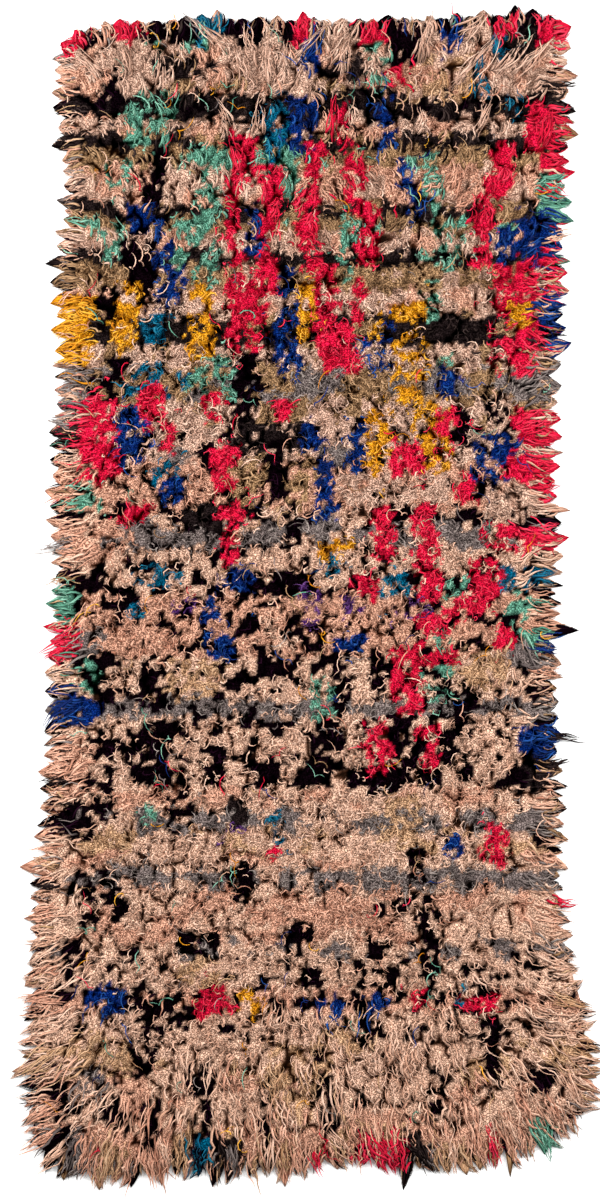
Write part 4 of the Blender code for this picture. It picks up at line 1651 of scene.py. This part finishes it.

# %% [markdown]
# At both ends of the rug and along its sides some tufts stand out as long flames. Each is six to twenty
# yarns that start from one patch and draw together to a point, some way along the rug or past its rim.
# The largest are given one by one, in whole centimetres.

# %% Long flames
FLAMES = (
    # yarn, across and down of the foot, across and down of the tip, number of yarns
    ("ivory", -14, 8, -22, 0, 11),
    ("grey", -19, 4, -24, -1, 6),
    ("ivory", -10, 7, -11, 0, 7),
    ("ivory", -7, 14, -6, 2, 11),
    ("ivory", -4, 12, -3, 4, 10),
    ("ivory", -11, 13, -13, 5, 7),
    ("ivory", -2, 9, 6, 1, 8),
    ("blue", -1, 10, 4, 2, 7),
    ("ivory", 8, 12, 8, 2, 10),
    ("ivory", 5, 10, 10, 2, 7),
    ("red", 13, 5, 14, 0, 6),
    ("ivory", 22, 10, 25, -2, 10),
    ("ivory", 24, 8, 22, 2, 6),
    ("ivory", 28, 15, 38, 3, 15),
    ("ivory", 29, 5, 36, -1, 8),
    ("ivory", 40, 12, 48, 4, 11),
    ("ivory", 36, 12, 44, 3, 8),
    ("ivory", -38, 12, -44, 6, 11),
    ("ivory", -32, 12, -35, 5, 10),
    ("ivory", -28, 14, -27, 6, 8),
    ("teal", 32, 13, 34, 6, 6),
    ("mint", -26, 20, -30, 13, 7),
    ("ivory", -14, 23, -17, 15, 8),
    ("ivory", -9, 23, -8, 15, 8),
    ("ivory", 8, 23, 10, 15, 7),
    ("red", 5, 24, 6, 15, 8),
    ("red", -12, 32, -14, 22, 7),
    ("ivory", 24, 23, 22, 17, 6),
    ("ivory", 33, 23, 36, 16, 8),
    ("red", 45, 25, 48, 15, 8),
    ("peach", -46, 187, -55, 187, 14),
    ("straw", -46, 196, -54, 202, 16),
    ("peach", -46, 207, -54, 211, 16),
    ("peach", -47, 212, -55, 217, 18),
    ("cream", -45, 215, -51, 220, 16),
    ("peach", -40, 213, -43, 221, 16),
    ("straw", -36, 214, -38, 223, 18),
    ("peach", -30, 215, -28, 224, 14),
    ("cream", -27, 213, -25, 219, 12),
    ("black", -20, 214, -19, 221, 12),
    ("grey", -14, 214, -13, 221, 14),
    ("cream", -6, 213, -7, 221, 12),
    ("peach", -1, 214, 0, 221, 14),
    ("red", 2, 215, 4, 221, 10),
    ("cream", 5, 212, 11, 218, 14),
    ("red", 12, 213, 19, 219, 20),
    ("charcoal", 20, 213, 25, 220, 18),
    ("cream", 28, 213, 29, 221, 12),
    ("peach", 33, 212, 35, 219, 14),
    ("cream", 38, 208, 42, 216, 14),
    ("mint", 44, 210, 48, 219, 14),
    ("peach", 46, 205, 50, 212, 14),
    ("cream", 49, 200, 54, 209, 14),
    ("straw", 47, 186, 56, 189, 14),
    ("cream", -43, 73, -48, 72, 7),
    ("grey", -43, 78, -49, 77, 7),
    ("peach", -43, 91, -50, 93, 8),
    ("grey", -43, 100, -52, 102, 9),
    ("camel", -44, 107, -50, 108, 7),
    ("red", -43, 120, -51, 122, 9),
    ("blue", -42, 131, -50, 136, 9),
    ("peach", -44, 142, -50, 142, 8),
    ("charcoal", -44, 146, -51, 146, 8),
    ("peach", -46, 158, -53, 158, 8),
    ("straw", -46, 162, -52, 160, 8),
    ("charcoal", -46, 165, -52, 166, 8),
    ("peach", -46, 170, -54, 171, 9),
    ("cream", -46, 176, -54, 176, 9),
    ("peach", -46, 181, -51, 182, 7),
    ("charcoal", 45, 14, 53, 13, 8),
    ("red", 45, 33, 51, 34, 7),
    ("cream", 45, 43, 53, 41, 7),
    ("black", 45, 60, 51, 61, 7),
    ("red", 44, 90, 50, 89, 7),
    ("red", 44, 99, 50, 99, 8),
    ("blue", 43, 120, 49, 121, 7),
    ("peach", 44, 125, 50, 125, 8),
    ("charcoal", 45, 136, 54, 138, 9),
    ("charcoal", 45, 143, 51, 141, 9),
    ("cream", 45, 157, 51, 157, 7),
    ("red", 47, 168, 53, 169, 8),
    ("cream", 46, 180, 53, 181, 8),
)
FLAME_FOOT = 0.016        # yarns start within about this of the foot
FLAME_TIP = 0.0035


def plan_flames():
    counts = [row[5] for row in FLAMES]
    total = sum(counts)
    foot_x, foot_y, tip_x, tip_y = (
        np.repeat([row[i] * CENTIMETRE for row in FLAMES], counts) for i in (1, 2, 3, 4)
    )
    aside = pile_rng.normal(0, FLAME_FOOT / 2, total)
    stop = pile_rng.uniform(0.45, 1.0, total)
    x = foot_x - CENTRE.x + aside
    y = -foot_y - CENTRE.y + pile_rng.normal(0, FLAME_FOOT / 2, total)
    end_x = blend(foot_x, tip_x, stop) - CENTRE.x + aside * (1 - stop) + pile_rng.normal(0, FLAME_TIP, total)
    end_y = -blend(foot_y, tip_y, stop) - CENTRE.y + pile_rng.normal(0, FLAME_TIP, total)
    return {
        "x": x, "y": y, "end_x": end_x, "end_y": end_y,
        "way": np.arctan2(end_y - y, end_x - x) + pile_rng.normal(0, 0.25, total),
        "combing": np.ones(total),
        "curl": pile_rng.uniform(0.0010, 0.0042, total),
        "turns": pile_rng.uniform(0.8, 2.0, total),
        "phase": pile_rng.uniform(0, 2 * math.pi, total),
        "lift": pile_rng.uniform(0.98, 1.16, total),
        "yarn": np.repeat([YARNS.index(row[0]) for row in FLAMES], counts),
        "tone": strips(pile_rng, 0.2, pile_rng.normal(0.50, 0.22, total)),
    }


flames = plan_flames()
print(len(flames["x"]), "yarns in the long flames")

# %% [markdown]
# Now the yarns become pieces, one for each colour. A mesh stays under 200,000 triangles, so a yarn that
# is used more than that is shared out over a few pieces, from the rug's upper end to its lower end.

# %% Make the pile
MOST_TRIANGLES = 190000
PART_NAMES = ("upper", "middle", "lower", "lowest")


def batches_of(yarn, plan, strays, tall, rim):
    """The batches of tubes of one piece: matted and combed yarns, loose ones, flames and the rim's."""
    thickness = THICKNESS.get(yarn, USUAL_THICKNESS)
    is_combed = plan["combing"] > FULLY_COMBED
    matted, combed = chosen(plan, ~is_combed), chosen(plan, is_combed)
    matted_steps = DARK_STEPS if yarn in DARK_YARNS else MATTED_STEPS
    batches = [
        (yarn_lines(matted, matted_steps), thickness, matted["tone"]),
        (yarn_lines(combed, COMBED_STEPS), thickness * COMBED_THINNER, combed["tone"]),
        (yarn_lines(strays, LOOSE_STEPS), thickness * LOOSE_THINNER, strays["tone"]),
        (yarn_lines(tall, LOOSE_STEPS), thickness * LOOSE_THINNER, tall["tone"]),
        (rim_lines[rim], LOCK_THICKNESS, rim_tone[rim]),
    ]
    return [yarn_batch(*batch) for batch in batches if len(batch[0])]


def triangles_in(batches):
    return sum(len(batch[0]) * triangles_of(batch[0].shape[1]) for batch in batches)


def lies_between(y, top, bottom):
    """Which of these places lie between two lines across the rug, both measured down from its middle."""
    return (-y >= top) & (-y < bottom)


def make_pile():
    pieces = []
    total = 0
    for number, yarn in enumerate(YARNS):
        mine = chosen(yarns, yarns["yarn"] == number)
        strays = chosen(loose, loose["yarn"] == number)
        tall = chosen(flames, flames["yarn"] == number)
        rim = rim_yarn == number
        shares = max(1, math.ceil(triangles_in(batches_of(yarn, mine, strays, tall, rim)) / MOST_TRIANGLES))
        cuts = np.quantile(-mine["y"], np.linspace(0, 1, shares + 1))
        cuts[0], cuts[-1] = -math.inf, math.inf
        for part, (top, bottom) in enumerate(zip(cuts[:-1], cuts[1:])):
            tables = [chosen(table, lies_between(table["y"], top, bottom)) for table in (mine, strays, tall)]
            batches = batches_of(yarn, *tables, rim & lies_between(rim_lines[:, 0, 1], top, bottom))
            name = f"pile_{yarn}" if shares == 1 else f"pile_{yarn}_{PART_NAMES[part]}"
            pieces.append(add_piece(name, tube_mesh(name, batches), wools[yarn]))
            total += triangles_in(batches)
            print(name, triangles_in(batches), "triangles")
    print("pile", total, "triangles")
    return pieces


pile = make_pile()

# %% [markdown]
# The floor is plain and pale. The light is a studio's: two large soft boxes at the sides, high enough to
# reach into the pile and low enough to leave its depths dark, one more overhead, and a little light from
# all round.

# %% Floor and light
FLOOR_SIZE = 60.0
FLOOR_GAP = 0.0005
FLOOR_COLOUR = (0.93, 0.93, 0.92, 1.0)
SOFT_BOXES = (
    # name, place, width and height, power
    ("key", (-3.0, 1.4, 2.6), (1.6, 3.0), 296.0),
    ("fill", (3.0, 0.6, 2.6), (1.6, 3.0), 212.0),
    ("overhead", (0.0, 2.6, 5.0), (2.5, 1.5), 90.0),
)
ROOM_LIGHT = 0.47


def make_floor():
    bm = bmesh.new()
    bmesh.ops.create_grid(bm, x_segments=1, y_segments=1, size=FLOOR_SIZE / 2)
    mesh = bpy.data.meshes.new("floor")
    bm.to_mesh(mesh)
    bm.free()
    mesh.transform(Matrix.Translation((0, 0, -FLOOR_GAP)))
    material, _tree, shader = new_material("pale_floor", 0.9, 0.5)
    shader.inputs["Base Color"].default_value = FLOOR_COLOUR
    mesh.materials.append(material)
    floor = bpy.data.objects.new("floor", mesh)
    bpy.context.scene.collection.objects.link(floor)
    return floor


def soft_box(name, place, size, power):
    data = bpy.data.lights.new(name, "AREA")
    data.shape = "RECTANGLE"
    data.size, data.size_y = size
    data.energy = power
    light = bpy.data.objects.new(name, data)
    light.location = place
    light.rotation_euler = (-Vector(place)).to_track_quat("-Z", "Y").to_euler()
    bpy.context.scene.collection.objects.link(light)
    return light


floor = make_floor()
lights = [soft_box(*row) for row in SOFT_BOXES]
world = bpy.data.worlds.new("room")
world.use_nodes = True
world.node_tree.nodes["Background"].inputs["Strength"].default_value = ROOM_LIGHT
world.node_tree.nodes["Background"].inputs["Color"].default_value = (1, 1, 1, 1)
bpy.context.scene.world = world
bpy.context.scene.view_settings.view_transform = "Standard"
print("a floor of", FLOOR_SIZE, "m and", len(lights), "soft boxes")
